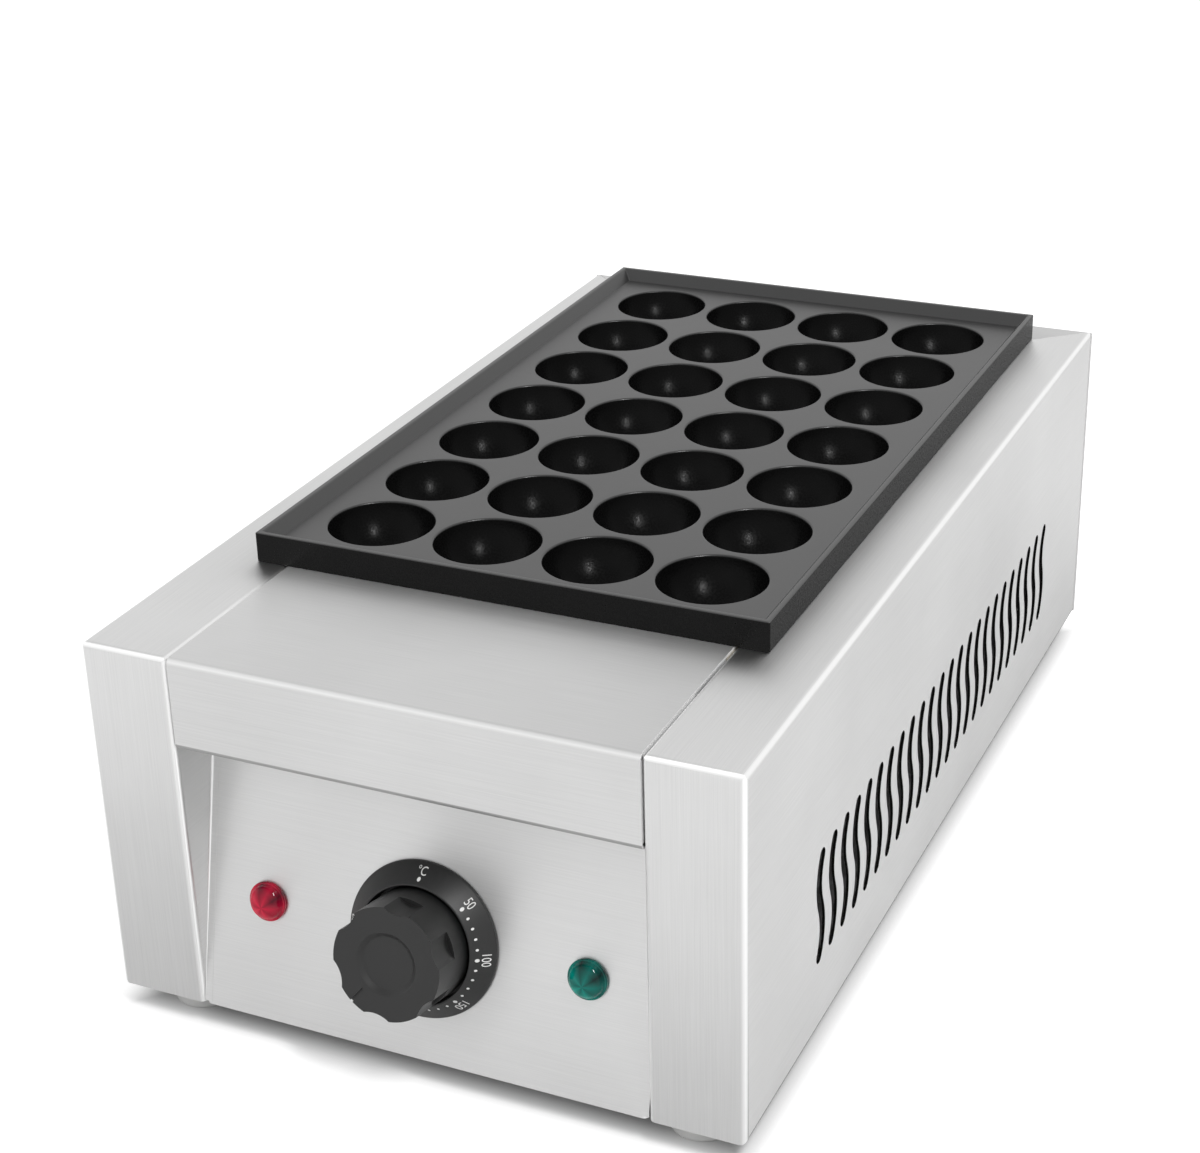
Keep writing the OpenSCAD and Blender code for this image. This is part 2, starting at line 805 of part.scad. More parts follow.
// Hairpin tube under two columns of cups
module heater(side) {
    middle = side * (heater_x1 + heater_x2) / 2;
    color("dimgray") {
        for (s = [-1, 1])
            along_heater(middle + s * cup_pitch / 2, heater_y0)
                cylinder(h = heater_y1 - heater_y0, d = heater_d);
        translate([middle, heater_y1, heater_z])
            rotate_extrude(angle = 180) translate([cup_pitch / 2, 0]) circle(d = heater_d);
    }
}

module heater_left() {
    heater(-1);
}

module heater_right() {
    heater(1);
}

module heater_bushings() {
    color("goldenrod") for (x = heater_xs)
        along_heater(x, tray_y0) difference() {
            union() {
                cylinder(h = bushing_flange_t, d = bushing_d + 2 * bushing_flange);
                translate([0, 0, -bushing_l + bushing_flange_t])
                    cylinder(h = bushing_l - bushing_flange_t + over, d = bushing_d);
            }
            translate([0, 0, -bushing_l])
                cylinder(h = 2 * bushing_l, d = heater_d + 2 * heater_gap);
        }
}

module heater_nuts() {
    color("goldenrod") for (x = heater_xs)
        along_heater(x, tray_y0 - tray_t - bushing_nut_h)
            hex_nut(bushing_d + 2 * bushing_nut_wall, bushing_d + 2 * thread_gap, bushing_nut_h);
}

module heater_insulators() {
    color("ivory") for (x = heater_xs)
        along_heater(x, heater_y0 - insulator_l) difference() {
            cylinder(h = insulator_l, d1 = heater_d - 2 * insulator_taper, d2 = heater_d);
            translate([0, 0, -over])
                cylinder(h = insulator_l + 2 * over, d = screw_d + 2 * thread_gap);
        }
}

module heater_pins() {
    color("darkkhaki") for (x = heater_xs)
        along_heater(x, heater_y0 - pin_l) cylinder(h = pin_l, d = screw_d);
}

// Notched strip that stands in the tray and carries the heaters near their bends
module heater_support() {
    notch_d = heater_d + 2 * screw_gap;
    reach = heater_x2 + heater_d;
    color("gray") {
        along_y(support_y, support_y + support_t) difference() {
            translate([-reach, tray_floor])
                square([2 * reach, heater_rise + heater_d / 4]);
            for (x = heater_xs) {
                translate([x, heater_z]) circle(d = notch_d);
                translate([x - notch_d / 2, heater_z]) square([notch_d, heater_d]);
            }
        }
        block([-reach, support_y, tray_floor],
              [reach, support_y + support_foot, tray_floor + support_t]);
    }
}

// Two small posts that hold the bulb up between the cups
module bulb_brackets() {
    notch_d = bulb_d + 2 * screw_gap;
    color("gray") for (y = [bulb_y0 + bulb_l / 5, bulb_y1 - bulb_l / 5]) {
        along_y(y, y + support_t) difference() {
            translate([-bracket_half, tray_floor]) square([2 * bracket_half, bulb_z - tray_floor]);
            translate([0, bulb_z]) circle(d = notch_d);
        }
        block([-bracket_half, y, tray_floor],
              [bracket_half, y + support_foot, tray_floor + support_t]);
    }
}

module sensor_bulb() {
    color("peru") translate([0, bulb_y0, bulb_z]) rotate([-90, 0, 0]) {
        cylinder(h = bulb_neck, d1 = capillary_d + 2 * capillary_gap, d2 = bulb_d);
        translate([0, 0, bulb_neck]) cylinder(h = bulb_l - bulb_neck - bulb_d / 2, d = bulb_d);
        translate([0, 0, bulb_l - bulb_d / 2]) sphere(d = bulb_d);
    }
}

// Thin tube from the top of the thermostat, over one bend, to the front of the bulb
module capillary_tube() {
    bend_z = bulb_z - capillary_bend_r;
    color("peru") translate([0, capillary_foot[0], bend_z]) {
        mirror([0, 0, 1]) cylinder(h = bend_z - capillary_z0, d = capillary_d);
        translate([0, capillary_bend_r, 0]) rotate([90, 0, -90])
            rotate_extrude(angle = 90) translate([capillary_bend_r, 0]) circle(d = capillary_d);
        translate([0, capillary_bend_r, capillary_bend_r]) rotate([-90, 0, 0])
            cylinder(h = bulb_y0 - capillary_foot[0] - capillary_bend_r, d = capillary_d);
    }
}

module thermostat_body() {
    w = thermostat_w;
    h = thermostat_h;
    color("saddlebrown") difference() {
        on_control(0) {
            block([-w / 2 + bracket_step, -h / 2, bracket_w], [w / 2 - bracket_step, h / 2, -sheet_t]);
            block([-w / 2, -h / 2, thermostat_back], [w / 2, h / 2, bracket_w]);
        }
        on_control(0) translate([0, 0, shaft_end - over])
            cylinder(h = thermostat_l * 2, d = shaft_d + 2 * shaft_gap);
        for (v = [-1, 1])
            on_control(0) translate([0, v * screw_spacing / 2, -thermostat_screw_l])
                cylinder(h = thermostat_screw_l, d = screw_hole_d);
    }
}

module thermostat_blades() {
    color("darkkhaki") for (x = [-1, 1], v = [-1, 1])
        on_control(0) translate([x * thermostat_w / 4 - blade[0] / 2, v * thermostat_h / 4,
                                 thermostat_back - blade[2]]) cube(blade);
}

module thermostat_screws() {
    color("lightgray") for (v = [-1, 1])
        on_control(0) translate([0, v * screw_spacing / 2, dial_floor]) rotate([180, 0, 0])
            pan_screw(thermostat_screw_l - over);
}

// Conical ring with a flat well for the knob
module dial_ring() {
    lip = 0.6;
    color("black") on_control(0) difference() {
        rotate_extrude() difference() {
            polygon([
                [0, 0], [dial_d / 2, 0], [dial_d / 2, dial_edge], [dial_well_d / 2 + lip, dial_h],
                [0, dial_h]
            ]);
            translate([-over, dial_floor]) square([dial_well_d / 2 + over, dial_h]);
        }
        translate([0, 0, -over]) cylinder(h = dial_h, d = shaft_hole_d);
        for (v = [-1, 1])
            translate([0, v * screw_spacing / 2, -over]) cylinder(h = dial_h, d = screw_hole_d);
    }
}

// Turns the knob and its shaft to the pointer's place
module at_pointer() {
    on_control(0) rotate([0, 0, -pointer_turn]) children();
}

module shaft_section(gap) {
    difference() {
        circle(d = shaft_d + 2 * gap);
        translate([-shaft_d, shaft_d / 2 - shaft_flat + gap]) square([2 * shaft_d, shaft_d]);
    }
}

module thermostat_shaft() {
    color("lightgray") at_pointer() {
        translate([0, 0, shaft_end]) cylinder(h = knob_foot - shaft_end, d = shaft_d);
        along_z(knob_foot, shaft_top) shaft_section(0);
    }
}

// Hollow knob: skirt, face with a shallow dish, hub on the shaft, finger notches, pointer groove
module control_knob() {
    notch_turn = 360 / notch_count;
    inside_r = knob_d / 2 - knob_wall;
    foot_r = (screw_spacing + head_d) / 2 + knob_gap;
    ball_r = (dish_d * dish_d / 4 + dish_depth * dish_depth) / (2 * dish_depth);
    color("black") at_pointer() difference() {
        union() {
            rotate_extrude() difference() {
                round_rect([0, knob_foot], [knob_d / 2, knob_reach], [0, 0, knob_round, 0]);
                translate([-over, 0]) square([inside_r + over, knob_reach - knob_face_t]);
                // wider at the foot, around the two screw heads
                translate([-over, 0]) square([foot_r + over, dial_floor + head_h + knob_gap]);
            }
            translate([0, 0, knob_foot])
                cylinder(h = knob_reach - knob_face_t / 2 - knob_foot, d = hub_d);
        }
        translate([0, 0, knob_reach - dish_depth + ball_r]) sphere(ball_r);
        for (i = [0:notch_count - 1])
            rotate([0, 0, (i + 0.5) * notch_turn])
                translate([0, knob_d / 2 - notch_depth + notch_r, knob_reach - notch_l])
                    cylinder(h = notch_l + over, r = notch_r);
        block([-pointer_w / 2, dish_d / 2 + pointer_w, knob_reach - pointer_w],
              [pointer_w / 2, knob_d, knob_reach + over]);
        block([-pointer_w / 2, knob_d / 2 - pointer_w, knob_reach - notch_l],
              [pointer_w / 2, knob_d, knob_reach + over]);
        along_z(knob_foot - over, shaft_top + shaft_gap) shaft_section(shaft_gap);
    }
}

// Lamp holder through the panel, open in front for the lens and with two blades behind
module lamp_body(x) {
    color("black") on_control(x) {
        difference() {
            translate([0, 0, -lamp_l]) cylinder(h = lamp_l, d = lamp_d);
            translate([0, 0, -lens_spigot]) cylinder(h = lens_spigot + over, d = lamp_d - 2 * lamp_wall);
        }
        for (s = [-1, 1])
            block([-blade[0] / 2, s * lamp_d / 4 - blade[1] / 2, -lamp_l - blade[2]],
                  [blade[0] / 2, s * lamp_d / 4 + blade[1] / 2, -lamp_l]);
    }
}

module red_lamp_body() {
    lamp_body(-lamp_x);
}

module green_lamp_body() {
    lamp_body(lamp_x);
}

// Domed lens with a collar on the panel and a spigot in its holder
module lamp_lens(x) {
    dome_r = (lens_d * lens_d / 4 + lens_h * lens_h) / (2 * lens_h);
    on_control(x) rotate_extrude() {
        translate([0, lamp_rim_t]) intersection() {
            translate([0, lens_h - dome_r]) circle(dome_r);
            square([lens_d / 2, lens_h]);
        }
        round_rect([0, 0], [lamp_rim_d / 2, lamp_rim_t], [0, 0, lamp_rim_t / 2, 0]);
        translate([0, -lens_spigot])
            square([lamp_d / 2 - lamp_wall - thread_gap, lens_spigot + lamp_rim_t / 2]);
    }
}

module red_lamp_lens() {
    color("red") lamp_lens(-lamp_x);
}

module green_lamp_lens() {
    color("limegreen") lamp_lens(lamp_x);
}

module lamp_nuts() {
    color("black") for (x = [-lamp_x, lamp_x])
        on_control(x) translate([0, 0, -sheet_t - lamp_nut_t])
            hex_nut(lamp_d + 2 * lamp_nut_wall, lamp_d + 2 * thread_gap, lamp_nut_t);
}

// Three-pole block on the base plate, with wire holes through it and an ear at each end
module terminal_block() {
    color("ivory") translate(block_place) difference() {
        union() {
            block([-block_l / 2, -block_d / 2, 0], [block_l / 2, block_d / 2, block_h]);
            block([-block_l / 2 - block_ear, -block_ear / 2, 0],
                  [block_l / 2 + block_ear, block_ear / 2, block_ear_t]);
        }
        for (i = [-1, 0, 1]) {
            translate([i * pole_pitch, -block_d, block_h / 3]) rotate([-90, 0, 0])
                cylinder(h = 2 * block_d, d = wire_hole_d);
            for (s = [-1, 1])
                translate([i * pole_pitch, s * block_d / 4, block_h / 2])
                    cylinder(h = block_h, d = screw_hole_d);
        }
        for (x = [-1, 1])
            translate([x * (block_l / 2 + block_ear / 2), 0, 0]) screw_hole(block_ear_t);
    }
}

module terminal_screws() {
    sink = 2;
    color("darkkhaki") for (i = [-1, 0, 1], s = [-1, 1])
        translate(block_place + [i * pole_pitch, s * block_d / 4, block_h / 2])
            cylinder(h = block_h / 2 - sink, d = screw_d);
}

module block_screws() {
    color("lightgray") for (x = [-1, 1])
        translate(block_place + [x * (block_l / 2 + block_ear / 2), 0, block_ear_t])
            rotate([180, 0, 0]) pan_screw(block_ear_t + sheet_t + screw_tail);
}

// Moves a shape drawn along Z onto the gland, pointing out of the back
module at_gland(y) {
    translate([gland_place[0], y, gland_place[1]]) rotate([-90, 0, 0]) children();
}

// Gland in the rear panel: barrel and hexagon, with the bore for the mains lead
module cable_gland() {
    flange_w = gland_d + 2 * gland_flange;
    color("dimgray") at_gland(back_y) difference() {
        union() {
            translate([0, 0, -sheet_t - gland_in])
                cylinder(h = sheet_t + gland_in + over, d = gland_d);
            cylinder(h = gland_flange_t, d = flange_w * hex, $fn = 6);
        }
        translate([0, 0, -gland_reach]) cylinder(h = 2 * gland_reach, d = gland_bore_d);
    }
}

module gland_cap() {
    cap_l = gland_reach - gland_flange_t;
    cap_r = gland_d / 2 + gland_cap_wall;
    grips = 12;
    grip_r = 1.2;
    color("dimgray") at_gland(back_y + gland_flange_t) difference() {
        rotate_extrude() round_rect([0, 0], [cap_r, cap_l], [0, 0, cap_r / 2, 0]);
        translate([0, 0, -over]) cylinder(h = cap_l + 2 * over, d = gland_bore_d);
        for (i = [0:grips - 1])
            rotate([0, 0, i * 360 / grips]) translate([cap_r + grip_r / 2, 0, grip_r])
                cylinder(h = cap_l / 2, r = grip_r);
    }
}

module gland_locknut() {
    color("dimgray") at_gland(housing_back - locknut_t)
        hex_nut(gland_d + 2 * locknut_wall, gland_d + 2 * thread_gap, locknut_t);
}

module earth_stud() {
    color("darkkhaki") translate([earth_place[0], earth_place[1], base_z1]) {
        cylinder(h = earth_flange_t, d = earth_d * 2);
        cylinder(h = earth_l, d = earth_d);
    }
}

module earth_nuts() {
    lug_gap = 1;
    color("darkkhaki") for (i = [0, 1])
        translate([earth_place[0], earth_place[1], base_z1 + earth_flange_t + i * (nut_h + lug_gap)])
            hex_nut(earth_nut_w, earth_d + 2 * thread_gap, nut_h);
}

module cup_places() {
    for (i = [0:cup_cols - 1], j = [0:cup_rows - 1])
        translate([(i - (cup_cols - 1) / 2) * cup_pitch,
                   plate_y + (j - (cup_rows - 1) / 2) * cup_pitch, 0]) children();
}

// Plan of the plate, drawn smaller by the inset
module plate_plan(inset) {
    r = plate_corner_r;
    round_rect([-plate_w / 2 + inset, plate_y - plate_l / 2 + inset],
               [plate_w / 2 - inset, plate_y + plate_l / 2 - inset], [r, r, r, r]);
}

// Outside of the plate, with its upright corners and the outer edge of its rim rounded
module plate_block() {
    x = plate_w / 2;
    y0 = plate_y - plate_l / 2;
    y1 = plate_y + plate_l / 2;
    intersection() {
        along_z(top_z, rim_z) plate_plan(0);
        along_y(y0, y1) round_rect([-x, top_z], [x, rim_z], [0, 0, rim_round, rim_round]);
        along_x(-x, x) round_rect([y0, top_z], [y1, rim_z], [0, 0, rim_round, rim_round]);
    }
}

// Space above the land, with slanted sides that meet in mitred corners
module rim_recess() {
    low = rim_t + rim_slope;
    high = rim_t - rim_slope * over / rim_h;
    x = plate_w / 2;
    y0 = plate_y - plate_l / 2;
    y1 = plate_y + plate_l / 2;
    z1 = rim_z + over;
    intersection() {
        along_y(y0, y1)
            polygon([[low - x, land_z], [x - low, land_z], [x - high, z1], [high - x, z1]]);
        along_x(-x, x)
            polygon([[y0 + low, land_z], [y1 - low, land_z], [y1 - high, z1], [y0 + high, z1]]);
    }
}

// Outside of the bowl under a cup, up into the plate between the cups
module bowl() {
    rotate_extrude() intersection() {
        translate([0, cup_ball_z]) circle(cup_ball_r + cup_wall);
        translate([0, cup_under_z - over])
            square([cup_pitch, land_z - plate_t / 2 - cup_under_z + over]);
    }
}

// Casting with a rim round the top, a skirt round the bottom and a bowl under every cup
module baking_plate() {
    lip_r = sqrt(cup_ball_r * cup_ball_r - pow(cup_ball_z - land_z + cup_lip, 2));
    color([0.13, 0.13, 0.13]) difference() {
        union() {
            difference() {
                plate_block();
                rim_recess();
                along_z(top_z - over, land_z - plate_t) plate_plan(skirt_t);
            }
            cup_places() bowl();
        }
        cup_places() {
            translate([0, 0, cup_ball_z]) sphere(cup_ball_r);
            translate([0, 0, land_z - cup_lip])
                cylinder(h = 2 * cup_lip, r1 = lip_r, r2 = lip_r + 2 * cup_lip);
        }
    }
}

left_side_housing();
right_side_housing();
front_apron();
control_panel();
rear_panel();
base_plate();
foot_front_left();
foot_front_right();
foot_rear_left();
foot_rear_right();
foot_screws();
base_screws();
base_nuts();
rear_screws();
flange_screws();
flange_nuts();
reflector_tray();
tray_studs();
tray_nuts();
heater_left();
heater_right();
heater_bushings();
heater_nuts();
heater_insulators();
heater_pins();
heater_support();
bulb_brackets();
sensor_bulb();
capillary_tube();
thermostat_body();
thermostat_blades();
thermostat_screws();
dial_ring();
thermostat_shaft();
control_knob();
red_lamp_body();
red_lamp_lens();
green_lamp_body();
green_lamp_lens();
lamp_nuts();
terminal_block();
terminal_screws();
block_screws();
cable_gland();
gland_cap();
gland_locknut();
earth_stud();
earth_nuts();
baking_plate();
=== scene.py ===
# Electric poffertjes baker: a loose cast plate with rows of round cups on a folded stainless body.
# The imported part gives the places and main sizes, and this script the finishes and the finer forms.
import json
import math

import bmesh
import bpy
from mathutils import Matrix, Quaternion, Vector

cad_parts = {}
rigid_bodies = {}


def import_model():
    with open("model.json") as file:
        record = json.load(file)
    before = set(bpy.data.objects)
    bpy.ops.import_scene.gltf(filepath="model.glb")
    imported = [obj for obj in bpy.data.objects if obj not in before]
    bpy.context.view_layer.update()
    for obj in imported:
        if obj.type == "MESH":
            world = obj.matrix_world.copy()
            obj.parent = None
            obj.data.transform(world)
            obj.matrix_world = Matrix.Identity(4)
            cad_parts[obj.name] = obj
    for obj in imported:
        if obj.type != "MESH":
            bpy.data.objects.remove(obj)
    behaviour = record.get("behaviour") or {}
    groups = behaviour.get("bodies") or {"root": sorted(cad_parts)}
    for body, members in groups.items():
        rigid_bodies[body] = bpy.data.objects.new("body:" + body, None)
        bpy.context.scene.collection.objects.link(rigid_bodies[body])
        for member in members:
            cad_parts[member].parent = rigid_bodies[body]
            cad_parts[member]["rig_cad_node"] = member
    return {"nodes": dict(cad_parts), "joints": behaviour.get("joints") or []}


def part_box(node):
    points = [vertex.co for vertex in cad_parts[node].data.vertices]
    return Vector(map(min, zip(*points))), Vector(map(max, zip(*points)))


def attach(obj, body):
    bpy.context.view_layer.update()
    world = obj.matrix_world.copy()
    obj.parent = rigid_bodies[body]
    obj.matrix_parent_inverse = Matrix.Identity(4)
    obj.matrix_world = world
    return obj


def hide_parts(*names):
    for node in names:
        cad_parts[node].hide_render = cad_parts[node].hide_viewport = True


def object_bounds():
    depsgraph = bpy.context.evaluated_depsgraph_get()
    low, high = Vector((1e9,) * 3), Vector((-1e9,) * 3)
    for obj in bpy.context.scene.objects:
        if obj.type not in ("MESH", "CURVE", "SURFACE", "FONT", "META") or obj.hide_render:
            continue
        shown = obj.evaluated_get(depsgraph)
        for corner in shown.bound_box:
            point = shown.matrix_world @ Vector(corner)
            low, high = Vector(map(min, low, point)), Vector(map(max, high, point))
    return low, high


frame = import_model()
cad_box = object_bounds()
mm = 0.001

# Side housings: two boxes folded from 1 mm stainless sheet, with a row of S-shaped vents punched
# through each. The sheet is brushed, so its streaks run up the fronts and along the sides and tops.
sheet_edge = 0.08 * mm
sheet_corner = 35
flat_turn = 0.5
same_point = 0.001 * mm


def only(piece):
    """Deselect everything else and make the piece active."""
    bpy.ops.object.select_all(action="DESELECT")
    piece.select_set(True)
    bpy.context.view_layer.objects.active = piece


def finish_with(piece, kind, **settings):
    """Add a modifier with its settings, and apply it."""
    only(piece)
    modifier = piece.modifiers.new(kind.lower(), kind)
    for name, value in settings.items():
        setattr(modifier, name, value)
    bpy.ops.object.modifier_apply(modifier=modifier.name)


def ease(piece, width, segments, corner):
    """Round the edges that turn by more than a corner, in degrees."""
    finish_with(piece, "BEVEL", width=width, segments=segments, limit_method="ANGLE",
                angle_limit=math.radians(corner))


def shade(piece, corner):
    """Shade smooth over edges that turn by less than a corner, in degrees, and keep large faces flat."""
    only(piece)
    bpy.ops.object.shade_smooth_by_angle(angle=math.radians(corner))
    finish_with(piece, "WEIGHTED_NORMAL", keep_sharp=True)


def softened(node, edge):
    """Copy of a CAD node with its triangles merged to flat faces and its sharp edges eased."""
    only(frame["nodes"][node])
    bpy.ops.object.duplicate()
    piece = bpy.context.object
    piece.name = node + "_finished"
    del piece["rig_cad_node"]
    piece.data.materials.clear()
    bpy.ops.mesh.customdata_custom_splitnormals_clear()
    bpy.ops.object.mode_set(mode="EDIT")
    bpy.ops.mesh.select_all(action="SELECT")
    bpy.ops.mesh.remove_doubles(threshold=same_point)
    bpy.ops.mesh.dissolve_limited(angle_limit=math.radians(flat_turn))
    bpy.ops.object.mode_set(mode="OBJECT")
    ease(piece, edge, segments=2, corner=sheet_corner)
    shade(piece, sheet_corner)
    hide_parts(node)
    return piece


def dress(piece, body, material):
    """Give a piece its material and its body."""
    piece.data.materials.clear()
    piece.data.materials.append(material)
    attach(piece, body)


def new_material(name):
    """Material with its node tree, its Principled shader and its coordinates."""
    material = bpy.data.materials.new(name)
    material.use_nodes = True
    tree = material.node_tree
    return material, tree, tree.nodes["Principled BSDF"], tree.nodes.new("ShaderNodeTexCoord").outputs


def feed(tree, value, socket):
    """Link an output to an input, or set the input to a plain value."""
    if isinstance(value, bpy.types.NodeSocket):
        tree.links.new(value, socket)
    else:
        socket.default_value = value


def paint(tree, shader, tone, rough, metal=0.0, normal=None):
    """Feed a shader its colour, roughness, metal and normal."""
    feed(tree, tone, shader.inputs["Base Color"])
    feed(tree, rough, shader.inputs["Roughness"])
    feed(tree, metal, shader.inputs["Metallic"])
    if normal is not None:
        feed(tree, normal, shader.inputs["Normal"])


def add(tree, kind, **inputs):
    """New node with some of its inputs fed."""
    node = tree.nodes.new(kind)
    for name, value in inputs.items():
        feed(tree, value, node.inputs[name])
    return node


def spread(tree, value, low, high, start=0.0, end=1.0, smooth=False):
    """Map a value that runs from a start to an end onto a range, and hold it there beyond them."""
    node = add(tree, "ShaderNodeMapRange", **{"Value": value, "From Min": start, "From Max": end,
                                              "To Min": low, "To Max": high})
    if smooth:
        node.interpolation_type = "SMOOTHSTEP"
    return node.outputs["Result"]


def tint(tree, value, low, high, middle=()):
    """Colour by a value of 0 to 1, from one colour to another through middle stops."""
    node = add(tree, "ShaderNodeValToRGB", Fac=value)
    for stop, colour in middle:
        node.color_ramp.elements.new(stop).color = (*colour, 1)
    node.color_ramp.elements[0].color = (*low, 1)
    node.color_ramp.elements[-1].color = (*high, 1)
    return node.outputs["Color"]


def blend(tree, kind, mask, first, second):
    """Go from one value, vector or colour to another by a mask of 0 to 1."""
    node = add(tree, "ShaderNodeMix", Factor=mask)
    node.data_type = kind
    one, other, result = {"FLOAT": (2, 3, 0), "VECTOR": (4, 5, 1), "RGBA": (6, 7, 2)}[kind]
    feed(tree, first, node.inputs[one])
    feed(tree, second, node.inputs[other])
    return node.outputs[result]


def reckon(tree, operation, first, second=0.0):
    """Math on one or two values."""
    node = tree.nodes.new("ShaderNodeMath")
    node.operation = operation
    feed(tree, first, node.inputs[0])
    feed(tree, second, node.inputs[1])
    return node.outputs["Value"]


def within(tree, *tests):
    """Mask that is 1 where every value is above or below its limit, as its test says."""
    inside = 1.0
    for value, test, limit in tests:
        inside = reckon(tree, "MULTIPLY", reckon(tree, test, value, limit), inside)
    return inside


def parts_of(tree, vector):
    """X, Y and Z of a vector."""
    return add(tree, "ShaderNodeSeparateXYZ", Vector=vector).outputs


def bump(tree, height, strength, distance):
    """Normal from a height."""
    return add(tree, "ShaderNodeBump", Height=height, Strength=strength, Distance=distance).outputs["Normal"]


def noise(tree, place, scale, detail=4.0, rough=0.55):
    """Noise at a place."""
    return add(tree, "ShaderNodeTexNoise", Vector=place, Scale=scale, Detail=detail,
               Roughness=rough).outputs["Fac"]


def stretched(tree, place, scale):
    """Place scaled by a different amount in each direction."""
    return add(tree, "ShaderNodeMapping", Vector=place, Scale=scale).outputs["Vector"]


def new_group(name, inputs, outputs):
    """Node group with named inputs and outputs, what it is given and what it makes."""
    group = bpy.data.node_groups.new(name, "ShaderNodeTree")
    for way, sockets in (("INPUT", inputs), ("OUTPUT", outputs)):
        for socket, kind in sockets.items():
            group.interface.new_socket(socket, in_out=way, socket_type="NodeSocket" + kind)
    return group, group.nodes.new("NodeGroupInput").outputs, group.nodes.new("NodeGroupOutput").inputs


def use_group(tree, group, **inputs):
    """Outputs of a group that is placed in a material with its own values."""
    node = tree.nodes.new("ShaderNodeGroup")
    node.node_tree = group
    for name, value in inputs.items():
        feed(tree, value, node.inputs[name])
    return node.outputs


stainless = (0.735, 0.735, 0.733)
steel_dark = [channel * 0.88 for channel in stainless]
steel_light = [channel * 1.1 for channel in stainless]
# painted highlight: the folds take this light colour, as the glint a fold catches
painted_fold_highlight = (0.96, 0.96, 0.958, 1)
# painted shade: faces turned downward take this dark colour, as the shade under a fold
painted_underside_shade = (0.42, 0.42, 0.418, 1)
steel_rough = 0.46
streak_rough = 0.07
blotch_rough = 0.04
drift_wide = 0.6
fold_starts = 0.99
fold_full = 0.84
below_starts = -0.02
below_full = -0.15

# brushed finish as a group: fine streaks and a slow drift, folds painted light as a painted highlight, and
# faces turned downward painted dark as painted shade
brushed_sheet, given, made = new_group(
    "brushed_sheet", {"Streaks": "Vector", "Place": "Vector", "Facing": "Vector"},
    {"Tone": "Color", "Roughness": "Float", "Grain": "Vector"})
streaks = noise(brushed_sheet, given["Streaks"], scale=1.0, detail=5.0, rough=0.62)
blotches = noise(brushed_sheet, given["Place"], scale=9.0, detail=3.0)
drift = spread(brushed_sheet, blotches, -drift_wide, drift_wide)
tone = tint(brushed_sheet, reckon(brushed_sheet, "ADD", streaks, drift), steel_dark, steel_light)
facing = parts_of(brushed_sheet, given["Facing"])
widest = reckon(brushed_sheet, "ABSOLUTE", facing["X"])
for way in ("Y", "Z"):
    widest = reckon(brushed_sheet, "MAXIMUM", widest, reckon(brushed_sheet, "ABSOLUTE", facing[way]))
fold_highlight_mask = spread(brushed_sheet, widest, 0.0, 1.0, fold_starts, fold_full)
underside_shade_mask = spread(brushed_sheet, facing["Z"], 0.0, 1.0, below_starts, below_full)
# painted highlight on the folds
tone = blend(brushed_sheet, "RGBA", fold_highlight_mask, tone, painted_fold_highlight)
# painted shade on the faces turned downward
feed(brushed_sheet, blend(brushed_sheet, "RGBA", underside_shade_mask, tone, painted_underside_shade), made["Tone"])
rough = reckon(brushed_sheet, "ADD",
               spread(brushed_sheet, streaks, steel_rough - streak_rough, steel_rough + streak_rough),
               spread(brushed_sheet, blotches, -blotch_rough, blotch_rough))
feed(brushed_sheet, rough, made["Roughness"])
feed(brushed_sheet, bump(brushed_sheet, streaks, strength=0.12, distance=0.05 * mm), made["Grain"])


def brushed(tree, shader, where, streaks, glint):
    """Feed a shader the brushed finish, with a glint across its streaks."""
    finish = use_group(tree, brushed_sheet, Streaks=streaks, Place=where["Object"], Facing=where["Normal"])
    paint(tree, shader, finish["Tone"], finish["Roughness"], metal=1.0, normal=finish["Grain"])
    feed(tree, 0.75, shader.inputs["Anisotropic"])
    feed(tree, glint, shader.inputs["Tangent"])
    return finish


streak_fine = 2600
streak_long = 26
side_turn = 0.7
housing_steel, tree, shader, where = new_material("housing_steel")
facing = parts_of(tree, where["Normal"])
on_side = reckon(tree, "GREATER_THAN", reckon(tree, "ABSOLUTE", facing["X"]), side_turn)
upright = stretched(tree, where["Object"], (streak_fine, streak_long, streak_long))
lengthwise = stretched(tree, where["Object"], (streak_long, streak_long, streak_fine))
finish = brushed(tree, shader, where, blend(tree, "VECTOR", on_side, upright, lengthwise),
                 blend(tree, "VECTOR", on_side, (1, 0, 0), (0, 0, 1)))

# behind the vents the inside of the sheet, vent walls included, is painted near black as painted shade; a
# band along the folds at the edges keeps the brushed tone
painted_vent_shade = (0.012, 0.012, 0.012, 1)
fold_wide = 3 * mm
outer_skin = 0.03 * mm
inner_skin = 0.5 * mm
housing_low, housing_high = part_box("right_side_housing")
place = parts_of(tree, where["Object"])
across = reckon(tree, "ABSOLUTE", place["X"])
inside = within(tree, (across, "LESS_THAN", housing_high.x - outer_skin),
                (across, "GREATER_THAN", housing_low.x + inner_skin),
                (place["Z"], "LESS_THAN", housing_high.z - fold_wide),
                (place["Y"], "GREATER_THAN", housing_low.y + fold_wide),
                (place["Y"], "LESS_THAN", housing_high.y - fold_wide))
# painted shade: the inside faces take the near-black colour
feed(tree, blend(tree, "RGBA", inside, finish["Tone"], painted_vent_shade), shader.inputs["Base Color"])
for node in ("left_side_housing", "right_side_housing"):
    dress(softened(node, sheet_edge), "body", housing_steel)

# Front apron and rear panel: folded stainless sheets that bridge the housings in front of and behind
# the plate. Their streaks run across, from side to side. The apron's tabs are welded shut at the ends.
sheet = 1 * mm
apron_fold = 2.5 * mm
weld_in = 0.55 * sheet
end_starts = 0.4
end_full = 0.9
end_rough = 0.9
end_metal = 0.3


def put(piece, matrix):
    """Move a finished piece to its place, and keep the place in its mesh."""
    piece.matrix_world = matrix
    only(piece)
    bpy.ops.object.transform_apply()


